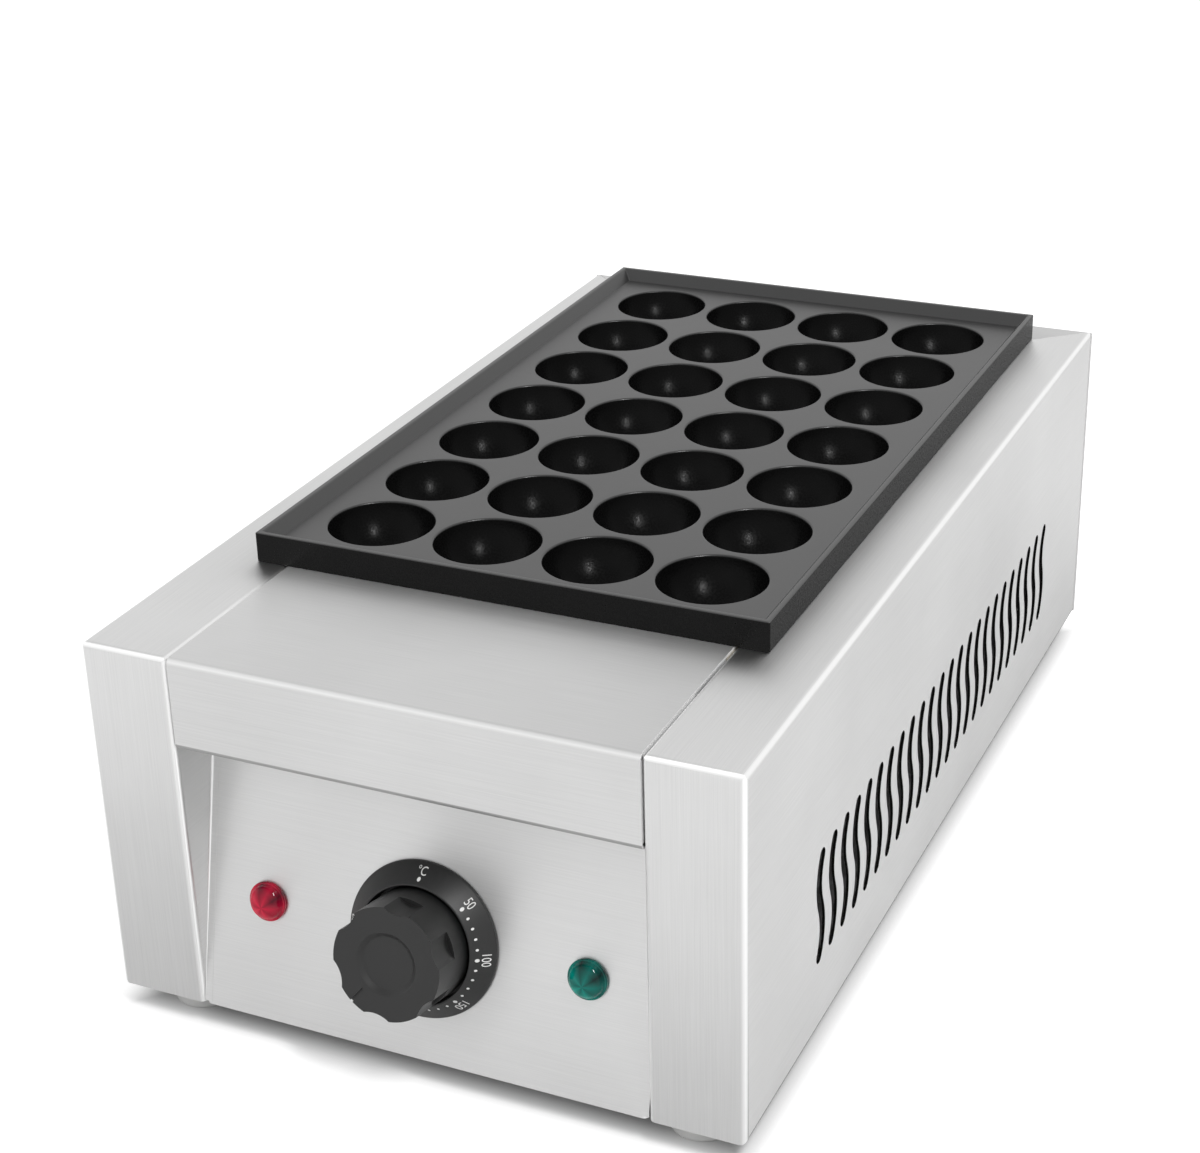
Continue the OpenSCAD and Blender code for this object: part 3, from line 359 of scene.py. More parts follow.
def block(place, size):
    """Cube of a size with its middle at a place."""
    bpy.ops.object.select_all(action="DESELECT")
    bpy.ops.mesh.primitive_cube_add(size=1)
    piece = bpy.context.object
    put(piece, Matrix.Translation(place) @ Matrix.Diagonal((*size, 1)))
    return piece


def join(main, others):
    """Join other pieces to a main one."""
    only(main)
    for other in others:
        other.select_set(True)
    bpy.ops.object.join()


def brushed_across(name, dull_ends):
    """Sheet brushed from side to side. Ends that are sheared or folded hard can be dull."""
    material, tree, shader, where = new_material(name)
    streaks = stretched(tree, where["Object"], (streak_long, streak_fine, streak_fine))
    glint = add(tree, "ShaderNodeCombineXYZ", X=0.05, Y=0.6, Z=0.8)
    finish = brushed(tree, shader, where, streaks, glint.outputs["Vector"])
    if dull_ends:
        sideways = reckon(tree, "ABSOLUTE", parts_of(tree, where["Normal"])["X"])
        at_end = spread(tree, sideways, 0.0, 1.0, end_starts, end_full)
        rough = reckon(tree, "MAXIMUM", finish["Roughness"], spread(tree, at_end, 0.0, end_rough))
        feed(tree, rough, shader.inputs["Roughness"])
        feed(tree, spread(tree, at_end, 1.0, end_metal), shader.inputs["Metallic"])
    return material


cross_steel = brushed_across("cross_steel", True)
dress(softened("rear_panel", sheet_edge), "body", cross_steel)
apron = softened("front_apron", sheet_edge)
apron_low, apron_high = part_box("front_apron")
weld_top = (apron_low.y + apron_fold, apron_high.y, apron_high.z - 3 * sheet, apron_high.z - sheet / 2)
weld_front = (apron_low.y + sheet / 2, apron_low.y + apron_fold, apron_low.z + apron_fold,
              apron_high.z - apron_fold)
join(apron, [block((x, (front + rear) / 2, (foot + head) / 2), (sheet, rear - front, head - foot))
             for x in (apron_low.x + weld_in, apron_high.x - weld_in)
             for front, rear, foot, head in (weld_top, weld_front)])
dress(apron, "body", cross_steel)

# Control panel: a stainless sheet that leans back under the apron, with folded sides. It is brushed
# across like the apron, screwed to the housings' returns behind its tabs, and beaded along both sides.
strip_wide = 2.9 * mm
strip_thick = 0.1 * mm
bead = 1.3 * mm
bead_foot = 0.25
curve_corner = 30
panel = softened("control_panel", sheet_edge)
panel_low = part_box("control_panel")[0]
turn_joint = next(joint for joint in frame["joints"] if joint["name"] == "knob_turn")
outward = -Vector(turn_joint["axis"]).normalized()
rightward = Vector((1, 0, 0))
upward = outward.cross(rightward)
panel_place = Matrix((rightward, upward, outward)).transposed().to_4x4()
panel_place.translation = Vector(turn_joint["pos_m"])
panel_foot = (panel_low.z - panel_place.translation.z) / upward.z + sheet
panel_head = (apron_low.z - panel_place.translation.z - bead * outward.z) / upward.z
panel_tall = panel_head - panel_foot
panel_mid = (panel_head + panel_foot) / 2


def cut(piece, cutter):
    """Cut the shape of a second piece out of the first, and remove the second."""
    finish_with(piece, "BOOLEAN", object=cutter, operation="DIFFERENCE", solver="EXACT")
    bpy.data.objects.remove(cutter)


def pick(test):
    """Select, in edit mode, the vertices that pass a test of their place."""
    shape = bmesh.from_edit_mesh(bpy.context.edit_object.data)
    bpy.ops.mesh.select_all(action="DESELECT")
    for vert in shape.verts:
        vert.select_set(test(vert.co))
    shape.select_flush_mode()


# a strip covers the groove beside each side fold, and a hollow bead fills the corner, thin at its foot
for side in (-1, 1):
    strip = block((side * (housing_low.x - strip_wide / 2), panel_mid, 0),
                  (strip_wide, panel_tall, 2 * strip_thick))
    corner = block((side * (housing_low.x - bead / 2), panel_mid, bead / 2), (bead, panel_tall, bead))
    bpy.ops.object.select_all(action="DESELECT")
    bpy.ops.mesh.primitive_cylinder_add(vertices=64, radius=bead, depth=2 * panel_tall)
    scoop = bpy.context.object
    put(scoop, Matrix.Translation((side * (housing_low.x - bead), panel_mid, bead + strip_thick))
        @ Matrix.Rotation(math.radians(90), 4, "X"))
    cut(corner, scoop)
    bpy.ops.object.mode_set(mode="EDIT")
    pick(lambda place: place.y < panel_mid)
    bpy.ops.transform.resize(value=(bead_foot, 1, bead_foot),
                             center_override=(side * housing_low.x, 0, 0))
    bpy.ops.object.mode_set(mode="OBJECT")
    bpy.ops.object.shade_smooth_by_angle(angle=math.radians(curve_corner))
    for piece in (strip, corner):
        put(piece, panel_place)
    join(panel, (strip, corner))
dress(panel, "body", brushed_across("panel_steel", False))

# Base plate: plain galvanised sheet with air slots, screwed under the folds of the body. Its zinc
# shows as large dull spangles.
galvanised, tree, shader, where = new_material("galvanised")
spangle = add(tree, "ShaderNodeTexVoronoi", Vector=where["Object"], Scale=140.0)
flake = add(tree, "ShaderNodeSeparateColor", Color=spangle.outputs["Color"]).outputs
paint(tree, shader, tint(tree, flake["Red"], (0.50, 0.51, 0.52), (0.66, 0.67, 0.68)),
      spread(tree, flake["Green"], 0.38, 0.55), metal=1.0)
dress(softened("base_plate", sheet_edge), "body", galvanised)

# Feet: four rubber pucks, a little wider at the floor, each held by a screw from below. Moulded pale
# grey rubber with a fine matte skin and a parting line round the middle.
foot_edge = 1.2 * mm
foot_ease = 0.3 * mm
foot_taper = 1 * mm
parting_line = 0.25 * mm
below_line = 0.35 * mm
above_line = 0.4 * mm
screw_sink = 4.6 * mm
screw_bore = 2.2 * mm


def turned(name, profile, segments):
    """Turned piece on the Z axis: a ring of edges, extruded through a profile of radius and height."""
    bpy.ops.object.select_all(action="DESELECT")
    radius, height = profile[0]
    bpy.ops.mesh.primitive_circle_add(vertices=segments, radius=radius, location=(0, 0, height))
    piece = bpy.context.object
    piece.name = name
    bpy.ops.object.transform_apply()
    bpy.ops.object.mode_set(mode="EDIT")
    bpy.ops.mesh.select_all(action="SELECT")
    for next_radius, next_height in profile[1:]:
        rise = (0, 0, next_height - height)
        bpy.ops.mesh.extrude_region_move(TRANSFORM_OT_translate={"value": rise})
        if next_radius == 0:
            bpy.ops.mesh.merge(type="CENTER")
            break
        grow = next_radius / radius
        bpy.ops.transform.resize(value=(grow, grow, 1))
        radius, height = next_radius, next_height
    bpy.ops.mesh.select_all(action="SELECT")
    bpy.ops.mesh.remove_doubles(threshold=same_point)
    bpy.ops.mesh.normals_make_consistent(inside=False)
    bpy.ops.object.mode_set(mode="OBJECT")
    bpy.ops.object.shade_smooth_by_angle(angle=math.radians(curve_corner))
    return piece


def arc(centre, radius, start, end, steps):
    """Points of radius and height along an arc, from one angle to another, in degrees."""
    turns = [math.radians(start + (end - start) * i / steps) for i in range(steps + 1)]
    return [(centre[0] + radius * math.cos(a), centre[1] + radius * math.sin(a)) for a in turns]


# moulded finish as a group: a slow drift of colour, and a fine skin in the roughness and the normal
moulded_skin, given, made = new_group(
    "moulded_skin", {"Place": "Vector", "Drift": "Float", "Skin": "Float", "Detail": "Float",
                     "Dark": "Color", "Light": "Color", "Smooth": "Float", "Dull": "Float",
                     "Relief": "Float", "Depth": "Float"},
    {"Tone": "Color", "Roughness": "Float", "Grain": "Vector"})
drift = noise(moulded_skin, given["Place"], given["Drift"])
skin = noise(moulded_skin, given["Place"], given["Skin"], given["Detail"])
feed(moulded_skin, blend(moulded_skin, "RGBA", drift, given["Dark"], given["Light"]), made["Tone"])
feed(moulded_skin, spread(moulded_skin, skin, given["Smooth"], given["Dull"]), made["Roughness"])
feed(moulded_skin, bump(moulded_skin, skin, given["Relief"], given["Depth"]), made["Grain"])


def moulded(name, dark, light, smooth, dull, drift=35.0, skin=2400.0, detail=2.0, relief=0.18,
            depth=0.04 * mm):
    """Moulded rubber or plastic between two colours and two roughnesses."""
    material, tree, shader, where = new_material(name)
    finish = use_group(tree, moulded_skin, Place=where["Object"], Drift=drift, Skin=skin, Detail=detail,
                       Dark=(*dark, 1), Light=(*light, 1), Smooth=smooth, Dull=dull, Relief=relief,
                       Depth=depth)
    paint(tree, shader, finish["Tone"], finish["Roughness"], normal=finish["Grain"])
    return material


rubber = moulded("foot_rubber", (0.62, 0.62, 0.61), (0.74, 0.74, 0.73), 0.62, 0.85, drift=60.0, skin=1400.0,
                 detail=4.0, relief=0.25, depth=0.08 * mm)
for node in ("foot_front_left", "foot_front_right", "foot_rear_left", "foot_rear_right"):
    low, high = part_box(node)
    wide = (high.x - low.x) / 2
    tall = high.z - low.z
    middle = tall / 2
    top_round = foot_edge / 2
    foot = turned(node + "_rubber", [
        (screw_sink, middle), (screw_sink, foot_ease), (screw_sink + foot_ease, 0),
        *arc((wide - foot_edge, foot_edge), foot_edge, -90, 0, 4),
        (wide - below_line, middle - parting_line), (wide - below_line + parting_line, middle),
        (wide - above_line, middle + parting_line),
        *arc((wide - foot_taper - top_round, tall - top_round), top_round, 0, 90, 3),
        (screw_bore, tall), (screw_bore, middle), (screw_sink, middle)], 64)
    put(foot, Matrix.Translation(((low.x + high.x) / 2, (low.y + high.y) / 2, low.z)))
    dress(foot, "body", rubber)
    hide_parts(node)

# Screws, studs and nuts: zinc-plated steel, bright with a faint yellow cast. The rear and base screws
# have a pan head with a cross recess. The others sit inside the body, in the feet or under the knob.
head_wide = 3.6 * mm
head_tall = 2.3 * mm
head_rim = 0.7 * mm
head_round = 1.5 * mm
head_edge = 0.1 * mm
shank_wide = 2 * mm
shank_long = 6 * mm
slot_size = (3.6 * mm, 0.9 * mm, 2.4 * mm)
slot_taper = 0.45
rear_inset = 9 * mm

# plain metal and ceramic as a group: one cloud in the colour and the roughness
cloudy_finish, given, made = new_group(
    "cloudy_finish", {"Place": "Vector", "Scale": "Float", "Detail": "Float", "Dark": "Color",
                      "Light": "Color", "Smooth": "Float", "Dull": "Float"},
    {"Tone": "Color", "Roughness": "Float", "Cloud": "Float"})
cloud = noise(cloudy_finish, given["Place"], given["Scale"], given["Detail"])
feed(cloudy_finish, blend(cloudy_finish, "RGBA", cloud, given["Dark"], given["Light"]), made["Tone"])
feed(cloudy_finish, spread(cloudy_finish, cloud, given["Smooth"], given["Dull"]), made["Roughness"])
feed(cloudy_finish, cloud, made["Cloud"])


def clouded(name, dark, light, smooth, dull, scale, detail=4.0, metal=1.0, relief=None):
    """Plain finish between two colours and two roughnesses, raised a little where it has relief."""
    material, tree, shader, where = new_material(name)
    finish = use_group(tree, cloudy_finish, Place=where["Object"], Scale=scale, Detail=detail,
                       Dark=(*dark, 1), Light=(*light, 1), Smooth=smooth, Dull=dull)
    raised = bump(tree, finish["Cloud"], relief, 0.05 * mm) if relief else None
    paint(tree, shader, finish["Tone"], finish["Roughness"], metal, raised)
    return material


def recolour(material, *nodes):
    """Give CAD nodes that keep their shape a material."""
    for node in nodes:
        frame["nodes"][node].data.materials.clear()
        frame["nodes"][node].data.materials.append(material)


zinc = clouded("zinc_plate", (0.60, 0.60, 0.58), (0.74, 0.74, 0.72), 0.22, 0.40, scale=420.0)
recolour(zinc, "foot_screws", "base_nuts", "flange_screws", "flange_nuts", "tray_studs", "tray_nuts",
         "thermostat_screws", "block_screws", "thermostat_shaft")
screw_head = turned("screw_head", [
    (shank_wide, -shank_long), (shank_wide, 0), (head_wide, 0), (head_wide, head_rim),
    *arc((head_wide - head_round, head_rim), head_round, 15, 90, 5), (0, head_tall)], 48)
for quarter in (0, 90):
    slot_cutter = block((0, 0, head_tall), slot_size)
    put(slot_cutter, Matrix.Rotation(math.radians(quarter), 4, "Z"))
    bpy.ops.object.mode_set(mode="EDIT")
    pick(lambda place: place.z < head_tall)
    bpy.ops.transform.resize(value=(slot_taper, slot_taper, 1))
    bpy.ops.object.mode_set(mode="OBJECT")
    cut(screw_head, slot_cutter)
ease(screw_head, head_edge, segments=2, corner=40)
bpy.ops.object.shade_smooth_by_angle(angle=math.radians(curve_corner))


def set_screws(name, node, places, turn):
    """One piece with a copy of the screw at every place."""
    copies = []
    for place in places:
        only(screw_head)
        bpy.ops.object.duplicate()
        copies.append(bpy.context.object)
        put(copies[-1], Matrix.Translation(place) @ turn)
    join(copies[0], copies[1:])
    copies[0].name = name
    dress(copies[0], "body", zinc)
    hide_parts(node)


shell_low, shell_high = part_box("rear_panel")
body_tall = shell_high.z - shell_low.z
body_long = shell_high.y * 2
set_screws("rear_screw_heads", "rear_screws",
           [(side * (shell_high.x - rear_inset), shell_high.y, shell_low.z + body_tall * k / 8)
            for side in (-1, 1) for k in (1, 4, 7)], Matrix.Rotation(math.radians(-90), 4, "X"))
base_low, base_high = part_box("base_screws")
base_front = base_low.y + head_wide
base_rear = base_high.y - head_wide
set_screws("base_screw_heads", "base_screws",
           [(side * (base_high.x - head_wide), k * body_long / 4, shell_low.z)
            for side in (-1, 1) for k in (-1, 0, 1)]
           + [(side * housing_low.x / 2, base_front, shell_low.z) for side in (-1, 1)]
           + [(side * housing_low.x / 3, base_rear, shell_low.z) for side in (-1, 1)],
           Matrix.Rotation(math.radians(180), 4, "X"))
bpy.data.objects.remove(screw_head)

# Reflector tray, heater support and bulb brackets: plain aluminised sheet under the plate, folded and
# spot-welded. The heat of the elements stains it in patches, from straw to blue.
tray_grey = (0.64, 0.64, 0.63)
stain_blue = (0.40, 0.42, 0.47)
stain_stops = ((0.35, (0.60, 0.60, 0.59)), (0.52, (0.58, 0.53, 0.44)), (0.66, (0.44, 0.40, 0.42)))
heat_sheet, tree, shader, where = new_material("heat_stained_sheet")
stain = noise(tree, where["Object"], scale=14.0, detail=5.0)
paint(tree, shader, tint(tree, stain, tray_grey, stain_blue, stain_stops),
      spread(tree, stain, 0.32, 0.52), metal=1.0)
for node in ("reflector_tray", "heater_support", "bulb_brackets"):
    dress(softened(node, sheet_edge), "body", heat_sheet)

# Heaters: two hairpins of steel-sheathed tube, annealed to a dark grey-brown with a fine oxide bloom.
# They pass through the tray's front in brass bushings and end in ceramic beads and brass pins.
tube_edge = 0.2 * mm
sheath = clouded("heater_sheath", (0.10, 0.085, 0.075), (0.22, 0.20, 0.18), 0.42, 0.66, scale=90.0,
                 detail=6.0, metal=0.85, relief=0.15)
for node in ("heater_left", "heater_right"):
    dress(softened(node, tube_edge), "body", sheath)
brass = clouded("terminal_brass", (0.62, 0.46, 0.19), (0.80, 0.64, 0.32), 0.24, 0.42, scale=300.0)
dress(softened("heater_bushings", tube_edge), "body", brass)
recolour(brass, "heater_nuts", "heater_pins", "thermostat_blades", "terminal_screws", "earth_stud",
         "earth_nuts")
recolour(clouded("fired_ceramic", (0.78, 0.75, 0.68), (0.90, 0.88, 0.83), 0.5, 0.7, scale=900.0, metal=0.0),
         "heater_insulators")

# Sensor bulb and capillary tube: drawn copper, tarnished near the heat. The bulb lies in two brackets
# between the middle columns of cups, and the tube runs forward to the thermostat.
copper = clouded("drawn_copper", (0.34, 0.17, 0.10), (0.74, 0.42, 0.27), 0.28, 0.5, scale=55.0, detail=5.0)
for node in ("sensor_bulb", "capillary_tube"):
    dress(softened(node, tube_edge), "body", copper)

# Thermostat and terminal block: moulded resin bodies inside the control box, seen only with the body
# opened. One is brown, the other ivory, with a faint mould skin.
recolour(moulded("brown_resin", (0.10, 0.055, 0.03), (0.16, 0.09, 0.055), 0.4, 0.55), "thermostat_body")
recolour(moulded("ivory_resin", (0.76, 0.72, 0.62), (0.86, 0.83, 0.74), 0.4, 0.55), "terminal_block")

# Cable gland, its cap and locknut: black moulded nylon, screwed together through the rear panel where
# the mains lead enters.
gland_edge = 0.35 * mm
gland_black = moulded("gland_nylon", (0.020, 0.020, 0.020), (0.035, 0.035, 0.034), 0.42, 0.58)
for node in ("cable_gland", "gland_cap"):
    dress(softened(node, gland_edge), "body", gland_black)
recolour(gland_black, "gland_locknut")

# Dial ring: a conical ring of black satin plastic, screwed to the panel, with a well for the knob. Its
# scale is printed in white: a dot for ten degrees, a number for fifty, and the degree sign.
dial_wide = 28.5 * mm
dial_tall = 8 * mm
dial_edge = 1.2 * mm
dial_round = 0.3 * mm
dial_bore = 5 * mm
well_wide = 21.3 * mm
well_floor = 2 * mm
well_lip = 0.6 * mm
dial = turned("dial_ring_moulded", [
    (dial_bore, 0), (dial_bore, well_floor), (well_wide, well_floor), (well_wide, dial_tall),
    (well_wide + well_lip, dial_tall), (dial_wide, dial_edge), (dial_wide, 0), (dial_bore, 0)], 160)
ease(dial, dial_round, segments=3, corner=curve_corner)
shade(dial, curve_corner)

# the marks are laid out flat above the ring, every fifth with its number, and pressed down onto the cone
dot_ring = 23.67 * mm
word_ring = dot_ring + 2.2 * mm
word_tall = 3.5 * mm
big_dot = 0.62 * mm
small_dot = 0.42 * mm
step_turn = 9.12
print_thick = 0.04 * mm
marks = []
for tens in (0, *range(5, 31)):
    angle = math.radians(90 - tens * step_turn)
    across = math.cos(angle)
    along = math.sin(angle)
    size = small_dot if tens % 5 else big_dot
    bpy.ops.object.select_all(action="DESELECT")
    bpy.ops.mesh.primitive_circle_add(vertices=20, radius=size, fill_type="NGON",
                                      location=(dot_ring * across, dot_ring * along, 2 * dial_tall))
    bpy.ops.object.mode_set(mode="EDIT")
    bpy.ops.mesh.select_all(action="SELECT")
    bpy.ops.mesh.inset(thickness=size / 2)
    bpy.ops.object.mode_set(mode="OBJECT")
    bpy.ops.object.transform_apply()
    marks.append(bpy.context.object)
    if tens % 5:
        continue
    bpy.ops.object.select_all(action="DESELECT")
    bpy.ops.object.text_add()
    words = bpy.context.object
    words.data.body = str(tens * 10) if tens else "°C"
    words.data.align_x = "CENTER"
    words.data.align_y = "CENTER"
    words.data.size = word_tall
    bpy.ops.object.convert(target="MESH")
    words = bpy.context.object
    bpy.ops.object.mode_set(mode="EDIT")
    bpy.ops.mesh.select_all(action="SELECT")
    bpy.ops.mesh.subdivide(number_cuts=2)
    bpy.ops.object.mode_set(mode="OBJECT")
    put(words, Matrix.Translation((word_ring * across, word_ring * along, 2 * dial_tall))
        @ Matrix.Rotation(angle - math.pi / 2, 4, "Z"))
    marks.append(words)
scale_print = marks[0]
join(scale_print, marks[1:])
scale_print.name = "dial_scale_print"
finish_with(scale_print, "SHRINKWRAP", target=dial, wrap_method="PROJECT", use_project_z=True,
            use_positive_direction=False, use_negative_direction=True, offset=print_thick)
put(dial, panel_place)
put(scale_print, panel_place)
black_dark = (0.008, 0.008, 0.008)
black_light = (0.013, 0.013, 0.013)
dress(dial, "body", moulded("dial_satin", black_dark, black_light, 0.40, 0.52))
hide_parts("dial_ring")
ink = clouded("white_print", (0.66, 0.66, 0.65), (0.86, 0.86, 0.85), 0.45, 0.65, scale=1800.0, metal=0.0)
dress(scale_print, "body", ink)

# Control knob: black moulded plastic with six finger pockets round its front and a shallow dish in its
# face. It is pushed on the thermostat's shaft, with its pointer groove turned to about 240 degrees.
knob_wide = 20.2 * mm
knob_foot = 2.8 * mm
knob_face = 27 * mm
knob_edge = 0.5 * mm
wall_in = 15.2 * mm
face_thick = 3.5 * mm
step_wide = 3.2 * mm
step_tall = 3 * mm
face_ring = 15.5 * mm
dish_wide = 11.1 * mm
dish_deep = 1.5 * mm
columns = 156
pockets = 6
pocket_back = 16 * mm
pocket_reach = 16 * mm
pocket_deep = 1.7 * mm
pocket_round = 11 * mm
pocket_away = knob_wide - pocket_deep + pocket_round
pocket_half = 6
groove_middle = 17.4 * mm
groove_size = (1 * mm, 8 * mm, 1.6 * mm)
pointer_turn = 218
# two rings close together let the pockets end in a crisp edge
pocket_seam = 0.02 * mm
knob = turned("control_knob_moulded", [
    (wall_in, knob_face - face_thick), (wall_in, knob_foot + step_tall),
    (wall_in + step_wide, knob_foot + step_tall), (wall_in + step_wide, knob_foot), (knob_wide, knob_foot),
    (knob_wide, pocket_back - pocket_seam), (knob_wide, pocket_back), (knob_wide, knob_face),
    (face_ring, knob_face), (dish_wide + 0.5 * mm, knob_face), (dish_wide, knob_face - 0.2 * mm),
    (dish_wide * 0.93, knob_face - 0.9 * mm), (dish_wide * 0.85, knob_face - dish_deep),
    (0, knob_face - dish_deep)], columns)


def from_pocket(place):
    """Number of columns from a place on the knob to the middle of the nearest pocket."""
    angle = math.degrees(math.atan2(place.x, place.y))
    column = round((angle - 180 / pockets) / (360 / columns)) % (columns // pockets)
    return min(column, columns // pockets - column)


only(knob)
bpy.ops.object.mode_set(mode="EDIT")
for offset in range(pocket_half):
    lean = math.radians(offset * 360 / columns)
    bottom = math.sqrt(pocket_round ** 2 - (pocket_away * math.sin(lean)) ** 2)
    inward = (pocket_away * math.cos(lean) - bottom) / knob_wide
    pick(lambda place: place.z > pocket_back - pocket_seam / 2 and from_pocket(place) == offset
         and math.hypot(place.x, place.y) > pocket_reach)
    bpy.ops.transform.resize(value=(inward, inward, 1), center_override=(0, 0, 0))
bpy.ops.object.mode_set(mode="OBJECT")
cut(knob, block((0, groove_middle, knob_face), groove_size))
ease(knob, knob_edge, segments=3, corner=38)
shade(knob, 33)
put(knob, panel_place @ Matrix.Rotation(math.radians(-pointer_turn), 4, "Z"))
dress(knob, "knob", moulded("knob_matte", black_dark, black_light, 0.34, 0.46))
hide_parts("control_knob")

# Signal lamps: clear coloured domes with a collar, pressed in holders behind the panel. Red shows mains
# and green shows heat. Each dome's colour has painted light in it: lighter where it faces low and to one
# side, as painted light let through, and in bright and dark sectors round its axis, as painted glints of
# facets.
lens_bore = 5.8 * mm
lens_foot = 0.2 * mm
collar_wide = 7.3 * mm
collar_ease = 0.2 * mm
collar_top = 1.5 * mm
dome_foot = 1.9 * mm
dome_wide = 6.3 * mm
dome_tall = 3.6 * mm
dome_turns = [math.radians(turn) for turn in range(6, 90, 7)]
painted_facet_pairs = 10.0
painted_facet_share = 0.3
painted_light_way = (-0.6, 0, -0.8)
painted_light_share = 0.7
painted_light_half = 0.55
for node, slot, deep, middle, bright in (
        ("red_lamp_lens", "lens_red", (0.07, 0, 0.008), (0.52, 0.008, 0.04), (0.92, 0.035, 0.085)),
        ("green_lamp_lens", "lens_green", (0, 0.014, 0.012), (0, 0.16, 0.13), (0, 0.42, 0.33))):
    lens = turned(node + "_dome", [
        (lens_bore, lens_foot), (collar_wide - collar_ease, lens_foot),
        (collar_wide, lens_foot + collar_ease), (collar_wide, collar_top - 0.3 * mm),
        (collar_wide - collar_ease, collar_top), (dome_wide + 0.3 * mm, collar_top + 0.1 * mm),
        (dome_wide + 0.15 * mm, dome_foot),
        *[(dome_wide * math.cos(turn), dome_foot + dome_tall * math.sin(turn)) for turn in dome_turns],
        (0, dome_foot + dome_tall)], 96)
    low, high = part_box(node)
    lens_place = panel_place @ Matrix.Translation(((low.x + high.x) / 2, 0, 0))
    put(lens, lens_place)
    material, tree, shader, where = new_material(node + "_plastic")
    axis = lens_place.translation
    centred = add(tree, "ShaderNodeMapping", Vector=where["Object"], Location=(-axis.x, -axis.z, axis.y),
                  Rotation=(math.radians(-90), 0, 0))
    around = add(tree, "ShaderNodeTexGradient", Vector=centred.outputs["Vector"])
    around.gradient_type = "RADIAL"
    # painted glints: bright and dark sectors round the axis stand for facets catching light
    painted_facet_glints = reckon(tree, "PINGPONG", reckon(tree, "MULTIPLY", around.outputs["Fac"], painted_facet_pairs), 1.0)
    # painted light: the dome's colour is lighter where it faces low and to one side
    painted_light_side = tree.nodes.new("ShaderNodeVectorMath")
    painted_light_side.operation = "DOT_PRODUCT"
    feed(tree, where["Normal"], painted_light_side.inputs[0])
    feed(tree, painted_light_way, painted_light_side.inputs[1])
    painted_glow = spread(tree, painted_light_side.outputs["Value"], 0.0, painted_light_share, -painted_light_half, painted_light_half)
    painted_lit = reckon(tree, "ADD", painted_glow, reckon(tree, "MULTIPLY", painted_facet_glints, painted_facet_share))
    paint(tree, shader, tint(tree, painted_lit, deep, bright, ((0.5, middle),)), rough=0.05)
    feed(tree, 0.25, shader.inputs["Specular IOR Level"])
    dress(lens, "body", material)
    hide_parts(node)
recolour(moulded("lamp_holder", (0.02, 0.02, 0.02), (0.03, 0.03, 0.03), 0.4, 0.55),
         "red_lamp_body", "green_lamp_body", "lamp_nuts")

# Baking plate: one iron casting with a rim round the land, a skirt below and a bowl under every cup.
# It has a sand-cast grain under a baked black coat that is worn on the tops, where the grey is partly wear
# and partly a painted sheen, and it lies loose on the body.
plate_low, plate_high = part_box("baking_plate")
plate_middle = (plate_low + plate_high) / 2
rim_top = plate_high.z
rim_wide = 2 * mm
rim_slope = 3.7 * mm
rim_edge = 0.5 * mm
land = rim_top - 4.5 * mm
skirt_foot = land - 7 * mm
skirt_wide = 4 * mm
corner_round = 2 * mm
web = land - 4.5 * mm
pitch = 44 * mm
cup_columns = 4
cup_rows = 7
bowl_r = 20.26 * mm
bowl_wall = 3 * mm
bowl_z = land + 3.26 * mm
lip = 0.9 * mm
near = 0.01 * mm


def size_ring(radius):
    """Bring the selected ring of vertices, in edit mode, to a radius, and give one of its places."""
    shape = bmesh.from_edit_mesh(bpy.context.edit_object.data)
    now = next(vert.co.copy() for vert in shape.verts if vert.select)
    grow = radius / math.hypot(now.x, now.y)
    bpy.ops.transform.resize(value=(grow, grow, 1))
    return now


def cup_sheet(name, grid, profile):
    """Sheet of cups: a square cell with a round mouth, drawn down through a profile, then repeated."""
    bpy.ops.object.select_all(action="DESELECT")
    mouth, level = profile[0]
    bpy.ops.mesh.primitive_grid_add(x_subdivisions=grid, y_subdivisions=grid, size=pitch,
                                    location=(0, 0, level))
    cell = bpy.context.object
    cell.name = name
    bpy.ops.object.transform_apply()
    bpy.ops.object.mode_set(mode="EDIT")
    square = pitch / 2 - pitch / grid
    pick(lambda place: max(abs(place.x), abs(place.y)) < square - near)
    bpy.ops.mesh.delete(type="VERT")
    pick(lambda place: max(abs(place.x), abs(place.y)) < square + near)
    bpy.ops.transform.tosphere(value=1)
    size_ring(mouth)
    for radius, height in profile[1:]:
        bpy.ops.mesh.extrude_region_move()
        rise = height - size_ring(radius).z
        bpy.ops.transform.translate(value=(0, 0, rise))
    bpy.ops.mesh.extrude_region_move()
    bpy.ops.mesh.merge(type="CENTER")
    bpy.ops.object.mode_set(mode="OBJECT")
    first = (-(cup_columns - 1) / 2 * pitch, plate_middle.y - (cup_rows - 1) / 2 * pitch, 0)
    put(cell, Matrix.Translation(first))
    for count, way in ((cup_columns, (pitch, 0, 0)), (cup_rows, (0, pitch, 0))):
        finish_with(cell, "ARRAY", count=count, use_relative_offset=False, use_constant_offset=True,
                    constant_offset_displace=way, use_merge_vertices=True, merge_threshold=near)
    return cell


def bowl(radius, level, steps):
    """Profile of a bowl, as radius and height, from a level down to just beside its lowest point."""
    start = math.degrees(math.asin((level - bowl_z) / radius))
    return arc((0, bowl_z), radius, start, -90 + (start + 90) / steps, steps - 1)


top_bowl = bowl(bowl_r, land - lip, 16)
lip_arc = arc((top_bowl[0][0] + lip, land - lip), lip, 90, 180, 4)
top_cups = cup_sheet("plate_top_cups", 20, lip_arc[:-1] + top_bowl)
under_cups = cup_sheet("plate_under_cups", 12, bowl(bowl_r + bowl_wall, web, 9))


